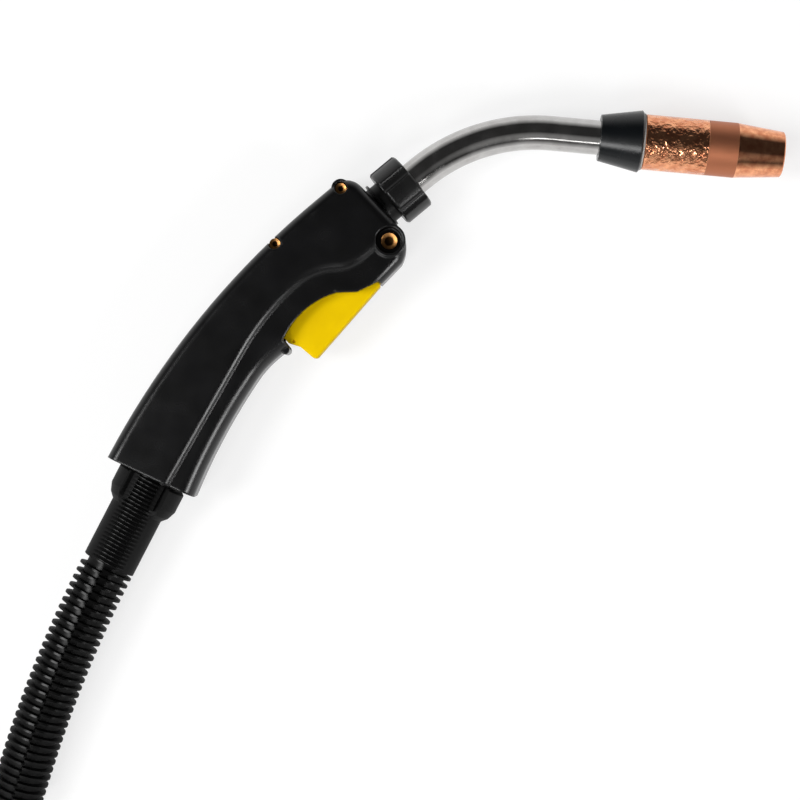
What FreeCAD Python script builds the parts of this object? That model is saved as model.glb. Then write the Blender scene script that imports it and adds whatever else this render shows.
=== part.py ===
# MIG welding torch, air cooled, lying on its side on a bench.
# From the front: copper nozzle, black boot, 45 degree steel neck, lobed lock knob, a curved handle of
# two moulded shells with a yellow trigger, a ribbed strain relief, and a 3 m power cable wound into a
# coil that ends in its central connector.
# Frame: +X is the way the welding wire leaves, +Z is up from the bench. The handle and neck axis lies
# at axis_height. Sizes are millimetres and degrees.
# Local frames: the handle frame has its origin where the neck axis crosses the handle's front face, x
# forward along the neck and y towards the back of the handle. The nozzle frame has its origin where the
# neck's bend ends, x forward along the nozzle. The connector frame starts at the coil's outer end.
import FreeCAD, Part
import math
import os
import Sketcher

Vector = FreeCAD.Vector
UP = Vector(0, 0, 1)
NOTHING = 0
# Share of the shorter run that an arc of the cable may take at each end
ARC_SHARE = 0.45
# How far a cutter runs past the stretch that it cuts, and how near an edge a choice of edges may end
OVERRUN = 1.0
# Spacing of the points on which the gap between the cable's turns is measured
GAP_SPACING = 4.0

doc = FreeCAD.newDocument("welding_torch")
sheet = doc.addObject("Spreadsheet::Sheet", "Dims")

# Driving dimensions: alias and value
LENGTHS = {
    # Place of the handle frame and height of the axis over the bench
    "datum_x": -14.472,
    "datum_y": 118.234,
    "axis_height": 18.0,
    # Neck: centreline of straight, bend and straight
    "neck_angle": 45.0,
    "bend_start": 24.4,
    "bend_radius": 83.0,
    "tube_rear": -30.0,
    "tube_end": 28.0,
    "tube_radius": 7.95,
    "tube_bore": 6.75,
    "insulation_radius": 6.6,
    "insulation_bore": 5.2,
    "conductor_rear": -39.0,
    "conductor_end": 41.9,
    "conductor_radius": 5.0,
    "conductor_bore": 3.2,
    "liner_rear": -45.0,
    "liner_end": 69.5,
    "liner_radius": 2.4,
    "liner_bore": 1.1,
    # Boot and its pale ring, stations in the nozzle frame
    "boot_rear": 22.1,
    "boot_step": 28.6,
    "boot_edge": 40.7,
    "boot_front": 41.4,
    "boot_rear_radius": 10.65,
    "boot_edge_radius": 14.25,
    "boot_front_radius": 13.5,
    "boot_bore": 8.0,
    "boot_socket": 10.7,
    "ring_rear": 41.42,
    "ring_front": 42.2,
    "ring_radius": 13.0,
    "ring_bore": 10.75,
    # Nozzle insulator and gas diffuser
    "sleeve_rear": 29.0,
    "sleeve_front": 62.0,
    "sleeve_radius": 10.6,
    "sleeve_bore": 8.6,
    "diffuser_rear": 28.7,
    "diffuser_bevel": 76.5,
    "diffuser_front": 80.0,
    "diffuser_radius": 8.5,
    "diffuser_nose": 5.4,
    "diffuser_socket": 5.05,
    "diffuser_socket_end": 42.0,
    "gas_bore": 3.8,
    "gas_bore_end": 70.0,
    "gas_hole_station": 66.0,
    "gas_hole_radius": 1.1,
    "gas_holes": 6,
    "tip_socket": 3.05,
    # Contact tip
    "tip_rear": 72.0,
    "tip_seat": 80.02,
    "tip_flange_front": 84.0,
    "tip_taper": 94.0,
    "tip_front": 103.3,
    "tip_shank": 3.0,
    "tip_flange": 4.6,
    "tip_body": 4.0,
    "tip_end_radius": 2.9,
    "wire_bore": 0.7,
    # Nozzle: polished barrel, matte band, cone
    "nozzle_rear": 42.3,
    "nozzle_edge": 42.7,
    "band_rear": 71.4,
    "band_front": 84.8,
    "nozzle_lip": 106.0,
    "nozzle_front": 106.5,
    "nozzle_rear_radius": 12.3,
    "nozzle_radius": 12.7,
    "band_radius": 12.6,
    "nozzle_lip_radius": 10.45,
    "nozzle_front_radius": 9.9,
    "nozzle_barrel_bore": 10.7,
    "nozzle_bore": 7.95,
    "nozzle_throat_rear": 82.0,
    "nozzle_throat_front": 86.0,
    # Lock knob
    "knob_rear": 6.0,
    "knob_rear_edge": 6.8,
    "knob_step": 14.5,
    "knob_front_edge": 19.4,
    "knob_front": 20.2,
    "knob_radius": 14.25,
    "knob_end_radius": 13.45,
    "knob_thread": 9.45,
    "knob_bore": 8.2,
    "knob_lobes": 6,
    "knob_groove_radius": 3.2,
    "knob_groove_centre": 15.6,
    "knob_groove_turn": 19.0,
    "knob_cut": 21.0,
    # Collar that the knob screws on, with its clamping slots, and the washer behind the knob
    "collar_rear": -6.2,
    "collar_flange_front": -3.2,
    "collar_thread_rear": 5.8,
    "collar_front": 14.0,
    "collar_flange": 11.0,
    "collar_radius": 9.65,
    "collar_thread": 9.3,
    "collar_bore": 8.25,
    "collar_slots": 4,
    "collar_slot_rear": 7.5,
    "collar_slot_front": 15.0,
    "collar_slot_half": 0.5,
    "washer_rear": 1.35,
    "washer_front": 2.35,
    "washer_radius": 11.3,
    "washer_bore": 9.75,
    # Brass hub in which the neck turns, and its seal
    "hub_rear": -34.0,
    "hub_stop": -30.3,
    "hub_front": -6.6,
    "hub_radius": 10.5,
    "hub_bore": 8.05,
    "hub_rear_bore": 5.15,
    "groove_rear": -12.1,
    "groove_front": -9.5,
    "groove_outer": 9.3,
    "seal_rear": -11.4,
    "seal_middle": -10.8,
    "seal_front": -10.2,
    "seal_inner": 8.15,
    "seal_waist": 8.4,
    "seal_crown": 9.0,
    "seal_outer": 9.25,
    # Brass fitting on the end of the cable, and its crimp ferrule
    "fitting_rear": -54.0,
    "fitting_neck": -48.0,
    "fitting_socket_end": -40.0,
    "fitting_front": -34.2,
    "fitting_radius": 8.5,
    "fitting_crimp": 7.0,
    "fitting_socket": 5.15,
    "fitting_bore": 2.7,
    "ferrule_rear": -68.5,
    "ferrule_front": -54.1,
    "ferrule_radius": 8.75,
    "ferrule_bore": 8.1,
    # Handle: half thicknesses and edge rounding
    "panel_half": 18.0,
    "core_half": 15.8,
    "panel_rounding": 5.0,
    "belly_rounding": 7.5,
    "nose_rounding": 5.5,
    "cavity_half": 13.2,
    "slot_half": 8.35,
    "guard_bead": 2.0,
    "guard_bead_half": 12.0,
    # Bores and webs of the handle along the neck axis
    "front_bore": 9.75,
    "flange_pocket": 11.15,
    "flange_pocket_rear": -6.4,
    "flange_pocket_length": 3.3,
    "front_bore_length": 20.0,
    "web_half": 13.4,
    "web_height": 12.4,
    "hub_web_rear": -22.0,
    "hub_web_width": 2.0,
    "hub_seat": 10.6,
    "fitting_web_rear": -63.0,
    "fitting_web_width": 6.0,
    "fitting_seat": 8.9,
    # Fasteners: stations are heights over the parting plane
    "screw_boss": 4.3,
    "screw_boss_half": 14.5,
    "screw_end": -9.0,
    "screw_shank": 1.5,
    "screw_hole": 1.6,
    "screw_hole_depth": 9.5,
    "screw_head": 2.5,
    "screw_recess": 2.9,
    "screw_socket": 1.3,
    "front_screw_seat": 10.6,
    "front_screw_top": 12.9,
    "back_screw_seat": 8.4,
    "back_screw_top": 10.7,
    "screw_socket_depth": 1.2,
    "nose_boss": 7.5,
    "nose_boss_half": 17.4,
    "nose_recess": 6.1,
    "nose_screw_seat": 9.5,
    "nose_screw_top": 12.0,
    "nose_floor_start": 8.0,
    "nose_floor_length": 9.4,
    "nose_head": 3.7,
    "nose_shank": 2.0,
    "nose_hole": 2.1,
    "nose_socket": 2.3,
    "nose_socket_depth": 1.6,
    # Trigger, its pin, spring and switch
    "trigger_half": 8.0,
    "trigger_hollow_half": 6.0,
    "trigger_post_half": 1.5,
    "trigger_seat_half": 3.0,
    "trigger_pin_bore": 1.56,
    "trigger_rounding": 1.0,
    "trigger_mark_radius": 0.7,
    "trigger_mark_depth": 1.2,
    "pin_radius": 1.5,
    "pin_half": 12.0,
    "pin_hole": 1.52,
    "pin_hole_depth": 12.1,
    "spring_station": -60.0,
    "spring_top": -9.7,
    "spring_bottom": -27.3,
    "spring_coil_radius": 2.4,
    "spring_wire_half": 0.35,
    "spring_turns": 5,
    "switch_half": 2.9,
    "switch_pocket_half": 3.0,
    "plunger_station": -38.0,
    "plunger_radius": 0.9,
    "plunger_bore": 1.05,
    "plunger_low": -16.9,
    "plunger_length": 4.4,
    "plunger_guide": 4.4,
    # Rear end of the handle and the strain relief, stations from the rim
    "rear_turn": 203.0,
    "rear_opening": 11.6,
    "rear_opening_start": -6.0,
    "rear_opening_length": 12.0,
    "cable_start": -54.2,
    "cable_bend_radius": 100.0,
    "relief_straight": 45.0,
    "relief_bend_end": 141.0,
    "relief_end": 166.0,
    "relief_turn": 9.2,
    "relief_dip": 4.0,
    "relief_bore": 8.2,
    "relief_flange_rear": -8.0,
    "relief_flange_front": -4.0,
    "relief_flange": 13.0,
    "relief_neck": 11.4,
    "relief_collar_front": 1.0,
    "relief_collar_edge": 1.8,
    "relief_collar_rear": 10.5,
    "relief_collar_waist": 14.4,
    "relief_collar_end": 17.0,
    "relief_collar": 16.2,
    "relief_collar_front_radius": 15.4,
    "relief_waist_radius": 14.7,
    "relief_barrel": 12.3,
    "window_half": 7.5,
    "window_rear": 17.2,
    "window_reach": 20.0,
    "fin_start": 46.6,
    "fin_pitch": 3.75,
    "fin_count": 31,
    "fin_tip": 12.35,
    "fin_root": 9.6,
    "fin_width": 0.9,
    "fin_slope": 0.35,
    # Power cable: 16 mm over its jacket
    "cable_radius": 8.0,
    "lead_run": 48.0,
    "lead_last_run": 40.0,
    "lead_heading_middle": 263.6,
    "lead_heading_end": 270.0,
    "coil_tail": 16.0,
    "coil_exit": 48.0,
    "coil_outer_radius": 108.0,
    "coil_step": 16.6,
    "coil_half_turns": 4,
    "coil_sides": 8,
    # Central connector, stations from the coil's end
    "cone_end": 30.0,
    "cone_shoulder": 26.0,
    "cone_rear_radius": 10.4,
    "cone_shoulder_radius": 13.4,
    "cone_end_radius": 12.6,
    "housing_rear": 30.02,
    "housing_shoulder": 40.0,
    "housing_step": 76.0,
    "housing_front": 92.0,
    "housing_rear_radius": 15.0,
    "housing_radius": 21.0,
    "housing_spigot": 19.0,
    "housing_flutes": 8,
    "housing_flute_radius": 4.5,
    "housing_flute_centre": 24.0,
    "housing_flute_rear": 45.0,
    "housing_flute_length": 24.0,
    "nut_rear": 77.0,
    "nut_rear_edge": 78.0,
    "nut_front_edge": 101.0,
    "nut_front": 102.0,
    "nut_radius": 24.6,
    "nut_end_radius": 23.8,
    "nut_bore": 19.35,
    "nut_flutes": 12,
    "nut_flute_radius": 2.6,
    "nut_flute_centre": 26.2,
    "nut_cut": 103.0,
    "face_rear": 92.02,
    "face_front": 97.0,
    "face_radius": 19.0,
    "face_bore": 7.1,
    "power_pin_end": 113.0,
    "power_pin_edge": 112.0,
    "power_pin_radius": 8.0,
    "power_pin_root": 7.0,
    "power_pin_shoulder": 97.5,
    "power_pin_edge_radius": 7.0,
    "nipple_front": 125.0,
    "nipple_radius": 4.2,
    "nipple_bore": 2.2,
    "nipple_bore_end": 95.0,
    "nipple_groove_rear": 118.0,
    "nipple_groove_front": 120.0,
    "nipple_groove": 3.2,
    "nipple_seal_rear": 118.2,
    "nipple_seal_middle": 119.0,
    "nipple_seal_front": 119.8,
    "nipple_seal_inner": 3.25,
    "nipple_seal_waist": 3.6,
    "nipple_seal_crown": 4.5,
    "nipple_seal_outer": 4.8,
    "control_rear": 97.02,
    "control_length": 10.0,
    "control_radius": 1.6,
    "control_spread": 12.5,
}

# Corners of the moulded outlines, in the handle frame
POINTS = {
    # Raised side panel
    "panel_rear_back": (-177.0, -13.4),
    "panel_back_middle": (-100.25, 11.56),
    "panel_back_front": (-20.0, 20.0),
    "panel_hump_top": (-9.2, 20.0),
    "panel_hump_front": (-0.53, 11.96),
    "panel_front_low": (1.14, -10.0),
    "panel_corner": (-4.34, -15.92),
    "panel_scoop_front": (-22.0, -15.92),
    "panel_scoop_turn": (-34.0, -11.74),
    "panel_scoop_rear": (-50.0, -6.2),
    "panel_ridge_front": (-88.0, -13.14),
    "panel_ridge_rear": (-185.0, -49.81),
    # Lower strip of the grip, behind the trigger
    "belly_top_rear": (-178.0, -22.0),
    "belly_top_front": (-38.0, 6.0),
    "belly_front": (-38.0, -23.7),
    "belly_palm": (-80.0, -23.7),
    "belly_turn": (-93.0, -25.53),
    "belly_rear": (-160.0, -54.2),
    # Nose in front of the trigger
    "nose_top_rear": (-40.0, 4.0),
    "nose_top_front": (-1.6, 4.0),
    "nose_brow": (0.9, -11.0),
    "nose_tip": (-1.3, -21.3),
    "nose_chin": (-8.6, -27.0),
    "nose_under": (-40.0, -30.4),
    # Notch that the trigger moves in
    "notch_low_rear": (-72.4, -60.0),
    "notch_rear": (-72.4, -19.4),
    "notch_crest": (-57.0, -15.1),
    "notch_top_front": (-40.0, -18.2),
    "notch_dip": (-32.6, -23.9),
    "notch_front": (-22.0, -26.5),
    "notch_lip": (-20.0, -33.0),
    "notch_low_front": (-20.0, -60.0),
    # Slot through the notch's wall
    "slot_low_rear": (-72.9, -32.0),
    "slot_rear": (-72.9, -9.6),
    "slot_knee": (-46.0, -9.6),
    "slot_fore": (-31.0, -16.4),
    "slot_brow": (-24.0, -16.6),
    "slot_front": (-21.9, -20.0),
    "slot_low_front": (-21.9, -32.0),
    # Rear rim
    "rim_back": (-169.9, -4.0),
    "rim_belly": (-143.0, -62.0),
    "rim_far_belly": (-200.0, -62.0),
    "rim_far_back": (-200.0, -4.0),
    "rim_centre": (-158.5, -29.0),
    # Centres of beads, bosses and holes
    "guard_centre": (-74.5, -23.3),
    "front_screw": (-8.2, 16.9),
    "back_screw": (-47.3, 16.9),
    "nose_screw": (-6.5, -15.4),
    "trigger_pivot": (-27.0, -21.0),
    "trigger_mark": (-69.0, -22.6),
    # Cavity
    "cavity_rear_back": (-161.0, -14.5),
    "cavity_back_middle": (-98.0, 5.4),
    "cavity_back_front": (-20.0, 13.2),
    "cavity_shoulder": (-7.0, 13.0),
    "cavity_front_top": (-4.4, 10.5),
    "cavity_front_low": (-4.4, -11.2),
    "cavity_trigger_rear": (-66.0, -11.2),
    "cavity_palm": (-80.0, -15.0),
    "cavity_belly_middle": (-111.0, -24.8),
    "cavity_rear_belly": (-149.4, -40.7),
    # Switch and its pocket
    "switch_low": (-45.0, -15.3),
    "switch_high": (-34.5, -8.9),
    "pocket_low": (-45.1, -15.4),
    "pocket_high": (-34.4, -8.8),
    # Trigger
    "trigger_tip": (-21.8, -28.3),
    "trigger_ear_front": (-24.0, -21.0),
    "trigger_ear_top": (-27.0, -18.0),
    "trigger_ear_rear": (-30.0, -20.6),
    "trigger_top_front": (-38.0, -17.2),
    "trigger_top_crest": (-56.0, -13.5),
    "trigger_top_rear": (-71.4, -15.8),
    "trigger_rear_high": (-71.4, -21.6),
    "trigger_rear_waist": (-68.4, -26.2),
    "trigger_rear_low": (-67.2, -33.4),
    "trigger_toe": (-65.2, -35.3),
    "hollow_front_top": (-33.2, -10.0),
    "hollow_front_low": (-33.2, -27.6),
    "hollow_rear_low": (-65.2, -32.6),
    "hollow_rear_waist": (-66.2, -25.6),
    "hollow_rear_high": (-69.2, -21.4),
    "hollow_rear_top": (-69.2, -10.0),
    "post_low": (-39.9, -30.0),
    "post_high": (-36.1, -17.0),
    "seat_low": (-63.0, -33.2),
    "seat_high": (-57.0, -27.4),
}

# Sizes that follow from the driving ones
FORMULAS = {
    "bend_end_x": "=bend_start + bend_radius * sin(neck_angle * 1 deg)",
    "bend_end_y": "=-bend_radius * (1 - cos(neck_angle * 1 deg))",
    "bend_middle_x": "=bend_start + bend_radius * sin(neck_angle * 0.5 deg)",
    "bend_middle_y": "=-bend_radius * (1 - cos(neck_angle * 0.5 deg))",
    "tube_end_x": "=bend_end_x + tube_end * cos(neck_angle * 1 deg)",
    "tube_end_y": "=bend_end_y - tube_end * sin(neck_angle * 1 deg)",
    "conductor_end_x": "=bend_end_x + conductor_end * cos(neck_angle * 1 deg)",
    "conductor_end_y": "=bend_end_y - conductor_end * sin(neck_angle * 1 deg)",
    "liner_end_x": "=bend_end_x + liner_end * cos(neck_angle * 1 deg)",
    "liner_end_y": "=bend_end_y - liner_end * sin(neck_angle * 1 deg)",
    "knob_groove_y": "=knob_groove_centre * sin(knob_groove_turn * 1 deg)",
    "knob_groove_z": "=knob_groove_centre * cos(knob_groove_turn * 1 deg)",
    "screw_socket_half": "=screw_socket / 2",
    "screw_socket_side": "=screw_socket * cos(30 deg)",
    "nose_socket_half": "=nose_socket / 2",
    "nose_socket_side": "=nose_socket * cos(30 deg)",
}


def write_sheet():
    """Each size gets a row of its own: alias in column A, value or formula in column B."""
    values = dict(LENGTHS)
    for name, (x, y) in POINTS.items():
        values[name + "_x"] = x
        values[name + "_y"] = y
    values.update(FORMULAS)
    for row, (alias, value) in enumerate(values.items(), start=1):
        sheet.set("A%d" % row, alias)
        sheet.set("B%d" % row, str(value))
        sheet.setAlias("B%d" % row, alias)
    doc.recompute()


def size(alias):
    """The number that an alias holds. NOTHING stands for 0 and a minus sign turns the number round."""
    if alias == NOTHING:
        return 0.0
    if alias.startswith("-"):
        return -float(sheet.get(alias[1:]))
    return float(sheet.get(alias))


def cell(alias):
    """Expression that binds a size to its sheet cell."""
    return "-Dims." + alias[1:] if alias.startswith("-") else "Dims." + alias


def aliases(corner):
    """A corner is the name of a point or a pair of aliases."""
    return corner if isinstance(corner, tuple) else (corner + "_x", corner + "_y")


def place(corner):
    x_alias, y_alias = aliases(corner)
    return Vector(size(x_alias), size(y_alias), 0)


# Local frames


def frame_at(position, heading):
    """Frame whose x runs along a heading in the bench plane."""
    return FreeCAD.Placement(position, FreeCAD.Rotation(UP, heading))


def handle_frame():
    return frame_at(Vector(size("datum_x"), size("datum_y"), size("axis_height")), size("neck_angle"))


def nozzle_frame():
    return frame_at(handle_frame().multVec(place("bend_end")), 0)


def upright_frame(point):
    """Frame at a handle point whose x runs up, square to the parting plane."""
    return HANDLE * FreeCAD.Placement(place(point), FreeCAD.Rotation(Vector(0, 1, 0), -90))


def relief_frame():
    """Frame at the middle of the handle's rear rim whose x runs out along the strain relief."""
    return HANDLE * FreeCAD.Placement(place("rim_centre"), FreeCAD.Rotation(UP, size("rear_turn")))


# Sketches


def new_body(label, placement):
    body = doc.addObject("PartDesign::Body", label)
    body.Label = label
    body.Placement = placement
    return body


def new_sketch(body, name, role="XY_Plane", shift=None):
    """Sketch on one of the body's origin planes, moved along the plane's normal by a sheet size."""
    plane = next(feature for feature in body.Origin.OriginFeatures if feature.Role == role)
    sketch = body.newObject("Sketcher::SketchObject", name)
    sketch.AttachmentSupport = [(plane, "")]
    sketch.MapMode = "FlatFace"
    if shift:
        sketch.setExpression("AttachmentOffset.Base.z", cell(shift))
    return sketch


def bind(sketch, kind, geometry, vertex, alias):
    """Distance of a vertex from the sketch's origin, bound to the sheet."""
    index = sketch.addConstraint(Sketcher.Constraint(kind, -1, 1, geometry, vertex, size(alias)))
    if alias != NOTHING:
        sketch.setExpression("Constraints[%d]" % index, cell(alias))


def bind_corner(sketch, geometry, vertex, corner):
    x_alias, y_alias = aliases(corner)
    bind(sketch, "DistanceX", geometry, vertex, x_alias)
    bind(sketch, "DistanceY", geometry, vertex, y_alias)


def tangent_middle(start, direction, end):
    """Middle point of the arc from start, leaving along direction, to end."""
    chord = end - start
    normal = (chord - direction * chord.dot(direction)).normalize()
    centre = start + normal * (chord.dot(chord) / (2 * chord.dot(normal)))
    outward = ((start - centre) + (end - centre)).normalize()
    return centre + outward * (start - centre).Length


def tangent_arc(start, direction, end):
    return Part.Arc(start, tangent_middle(start, direction, end), end)


def sketch_arc(start, middle, end):
    """Arc in the sketch plane that runs counterclockwise, as sketches keep their arcs."""
    if (middle - start).cross(end - middle).z < 0:
        return Part.Arc(end, middle, start)
    return Part.Arc(start, middle, end)


def arrival(start, end, direction):
    """Direction in which an arc that left start along direction arrives at end."""
    chord = (end - start).normalize()
    return chord * (2 * direction.dot(chord)) - direction


def bow_departure(start, middle, end):
    """Direction in which the arc over a middle point leaves start."""
    spoke = (start - Part.Arc(start, middle, end).toShape().Curve.Center).normalize()
    tangent = Vector(-spoke.y, spoke.x, 0)
    return tangent if tangent.dot(middle - start) > 0 else tangent * -1


def draw(sketch, start, steps, closed=True):
    """Outline of lines and arcs. A step is (kind, corner): line runs straight, smooth is an arc tangent
    to the step before it, and bow is an arc over the middle point that the step adds."""
    here = place(start)
    direction = Vector(1, 0, 0)
    pieces = []
    corner_here = start
    for step in steps:
        kind, corner = step[0], step[1]
        there = place(corner)
        if kind == "line":
            curve = Part.LineSegment(here, there)
            direction = (there - here).normalize()
        else:
            if kind == "bow":
                middle = place(step[2])
                direction = bow_departure(here, middle, there)
            else:
                middle = tangent_middle(here, direction, there)
            curve = sketch_arc(here, middle, there)
            direction = arrival(here, there, direction)
        geometry = sketch.addGeometry(curve, False)
        first = 1 if (sketch.Geometry[geometry].StartPoint - here).Length < 1e-6 else 2
        pieces.append((geometry, first, step, corner_here))
        here, corner_here = there, corner
    for geometry, first, step, corner in pieces:
        bind_corner(sketch, geometry, first, corner)
    if not closed:
        geometry, first = pieces[-1][:2]
        bind_corner(sketch, geometry, 3 - first, corner_here)
    for before, after in zip(pieces, pieces[1:] + (pieces[:1] if closed else [])):
        join = Sketcher.Constraint("Coincident", before[0], 3 - before[1], after[0], after[1])
        sketch.addConstraint(join)
    for geometry, first, step, corner in pieces:
        if step[0] == "bow":
            mark = sketch.addGeometry(Part.Point(place(step[2])), True)
            bind_corner(sketch, mark, 1, step[2])
            sketch.addConstraint(Sketcher.Constraint("PointOnObject", mark, 1, geometry))
        elif step[0] == "smooth":
            radius = sketch.Geometry[geometry].Radius
            sketch.addConstraint(Sketcher.Constraint("Radius", geometry, radius))


def draw_polygon(sketch, corners):
    draw(sketch, corners[0], [("line", corner) for corner in corners[1:] + corners[:1]])


def draw_box(sketch, low, high):
    """Rectangle between two corners."""
    low_x, low_y = aliases(low)
    high_x, high_y = aliases(high)
    draw_polygon(sketch, [(low_x, low_y), (high_x, low_y), (high_x, high_y), (low_x, high_y)])


def draw_circle(sketch, centre, radius):
    geometry = sketch.addGeometry(Part.Circle(place(centre), UP, size(radius)), False)
    bind_corner(sketch, geometry, 3, centre)
    index = sketch.addConstraint(Sketcher.Constraint("Radius", geometry, size(radius)))
    sketch.setExpression("Constraints[%d]" % index, cell(radius))


def draw_hexagon(sketch, corner, half, side):
    """Hexagon about the origin: corner radius, its half, and the height of the upper corners."""
    draw_polygon(
        sketch,
        [
            (corner, NOTHING),
            (half, side),
            ("-" + half, side),
            ("-" + corner, NOTHING),
            ("-" + half, "-" + side),
            (half, "-" + side),
        ],
    )


# Features


def add_pad(body, sketch, length, side=1, symmetric=False):
    """Pad along the sketch's normal, or against it when side is -1, or half to each side of it."""
    pad = body.newObject("PartDesign::Pad", sketch.Name + "_pad")
    pad.Profile = sketch
    pad.setExpression("Length", cell(length) + (" * 2" if symmetric else ""))
    if symmetric:
        pad.SideType = "Symmetric"
    pad.Reversed = side < 0
    doc.recompute()
    return pad


def add_pocket(body, sketch, length, side=1, symmetric=False):
    """Cut along the sketch's normal, or against it when side is -1. It has to remove something."""
    before = body.Shape.Volume
    pocket = body.newObject("PartDesign::Pocket", sketch.Name + "_pocket")
    pocket.Profile = sketch
    pocket.setExpression("Length", cell(length) + (" * 2" if symmetric else ""))
    if symmetric:
        pocket.SideType = "Symmetric"
    pocket.Reversed = side > 0
    doc.recompute()
    if not pocket.Shape.Volume < before:
        raise RuntimeError("%s cuts nothing" % sketch.Name)
    return pocket


def repeat_around(body, feature, count):
    """The feature again, count times in all, round the body's own x axis."""
    pattern = body.newObject("PartDesign::PolarPattern", feature.Name + "_around")
    pattern.Originals = [feature]
    axis = next(item for item in body.Origin.OriginFeatures if item.Role == "X_Axis")
    pattern.Axis = (axis, [""])
    pattern.Angle = 360.0
    pattern.setExpression("Occurrences", cell(count))
    body.Tip = pattern
    doc.recompute()
    return pattern


def round_edges(body, feature, radius, wanted):
    """Fillet on the feature's edges for which wanted(edge) is true."""
    names = ["Edge%d" % index for index, edge in enumerate(feature.Shape.Edges, start=1) if wanted(edge)]
    fillet = body.newObject("PartDesign::Fillet", feature.Name + "_round")
    fillet.Base = (feature, names)
    fillet.setExpression("Radius", cell(radius))
    doc.recompute()
    return fillet


def turned(label, placement, corners):
    """Turned piece: a closed outline of (station, radius) corners about the frame's x axis."""
    body = new_body(label, placement)
    sketch = new_sketch(body, label + "_section")
    draw_polygon(sketch, corners)
    turn = body.newObject("PartDesign::Revolution", label + "_turn")
    turn.Profile = sketch
    turn.ReferenceAxis = (sketch, ["H_Axis"])
    turn.Angle = 360.0
    doc.recompute()
    return body


def cylinder(label, placement, start, length, radius):
    """Round bar along the frame's x axis from a station, over a length."""
    bar = doc.addObject("Part::Cylinder", label)
    bar.Label = label
    bar.setExpression("Radius", cell(radius))
    bar.setExpression("Height", cell(length))
    along_x = FreeCAD.Placement(Vector(size(start), 0, 0), FreeCAD.Rotation(Vector(0, 1, 0), 90))
    bar.Placement = placement * along_x
    doc.recompute()
    return bar


def ring_seal(label, placement, prefix):
    """O-ring in its groove, with a six-sided section whose corners the sheet names by a prefix."""
    rear, middle, front = prefix + "_rear", prefix + "_middle", prefix + "_front"
    waist, crown = prefix + "_waist", prefix + "_crown"
    return turned(
        label,
        placement,
        [
            (middle, prefix + "_inner"),
            (rear, waist),
            (rear, crown),
            (middle, prefix + "_outer"),
            (front, crown),
            (front, waist),
        ],
    )


def joined(label, pieces):
    union = doc.addObject("Part::MultiFuse", label)
    union.Label = label
    union.Shapes = pieces
    doc.recompute()
    return union


def carved(label, base, tool):
    """Base less tool. The tool has to remove something."""
    cut = doc.addObject("Part::Cut", label)
    cut.Label = label
    cut.Base = base
    cut.Tool = tool
    doc.recompute()
    if not cut.Shape.Volume < base.Shape.Volume:
        raise RuntimeError("%s removes nothing" % label)
    return cut


def plain_feature(label, shape, placement=FreeCAD.Placement()):
    """Node whose shape comes from Part functions, with sizes read from the sheet."""
    feature = doc.addObject("Part::Feature", label)
    feature.Label = label
    feature.Shape = shape
    feature.Placement = placement
    return feature


# Neck and front end


def bent_tube(label, rear, front_end, outer, bore):
    """Tube along the neck: straight in the handle, the bend, and straight to a point of the nozzle."""
    body = new_body(label, HANDLE)
    path = new_sketch(body, label + "_path")
    steps = [("line", ("bend_start", NOTHING)), ("bow", "bend_end", "bend_middle"), ("line", front_end)]
    draw(path, (rear, NOTHING), steps, closed=False)
    section = new_sketch(body, label + "_section", "YZ_Plane", rear)
    draw_circle(section, (NOTHING, NOTHING), outer)
    draw_circle(section, (NOTHING, NOTHING), bore)
    pipe = body.newObject("PartDesign::AdditivePipe", label + "_pipe")
    pipe.Profile = section
    pipe.Spine = path
    doc.recompute()
    return body


def boot():
    return turned(
        "nozzle_boot",
        NOZZLE,
        [
            ("boot_rear", "boot_bore"),
            ("boot_rear", "boot_rear_radius"),
            ("boot_edge", "boot_edge_radius"),
            ("boot_front", "boot_front_radius"),
            ("boot_front", "boot_socket"),
            ("boot_step", "boot_socket"),
            ("boot_step", "boot_bore"),
        ],
    )


def tube_ring(label, placement, rear, front, outer, bore):
    """Plain sleeve or washer."""
    return turned(label, placement, [(rear, bore), (rear, outer), (front, outer), (front, bore)])


def gas_diffuser():
    body = turned(
        "gas_diffuser",
        NOZZLE,
        [
            ("diffuser_rear", "diffuser_socket"),
            ("diffuser_rear", "diffuser_radius"),
            ("diffuser_bevel", "diffuser_radius"),
            ("diffuser_front", "diffuser_nose"),
            ("diffuser_front", "tip_socket"),
            ("gas_bore_end", "tip_socket"),
            ("gas_bore_end", "gas_bore"),
            ("diffuser_socket_end", "gas_bore"),
            ("diffuser_socket_end", "diffuser_socket"),
        ],
    )
    hole = new_sketch(body, "gas_hole")
    draw_circle(hole, ("gas_hole_station", NOTHING), "gas_hole_radius")
    repeat_around(body, add_pocket(body, hole, "diffuser_radius"), "gas_holes")
    return body


def contact_tip():
    return turned(
        "contact_tip",
        NOZZLE,
        [
            ("tip_rear", "wire_bore"),
            ("tip_rear", "tip_shank"),
            ("tip_seat", "tip_shank"),
            ("tip_seat", "tip_flange"),
            ("tip_flange_front", "tip_flange"),
            ("tip_flange_front", "tip_body"),
            ("tip_taper", "tip_body"),
            ("tip_front", "tip_end_radius"),
            ("tip_front", "wire_bore"),
        ],
    )


def nozzle():
    return turned(
        "nozzle",
        NOZZLE,
        [
            ("nozzle_rear", "nozzle_barrel_bore"),
            ("nozzle_rear", "nozzle_rear_radius"),
            ("nozzle_edge", "nozzle_radius"),
            ("band_rear", "nozzle_radius"),
            ("band_rear", "band_radius"),
            ("band_front", "band_radius"),
            ("nozzle_lip", "nozzle_lip_radius"),
            ("nozzle_front", "nozzle_front_radius"),
            ("nozzle_front", "nozzle_bore"),
            ("nozzle_throat_front", "nozzle_bore"),
            ("nozzle_throat_rear", "nozzle_barrel_bore"),
        ],
    )


# Swivel at the front of the handle


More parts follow.
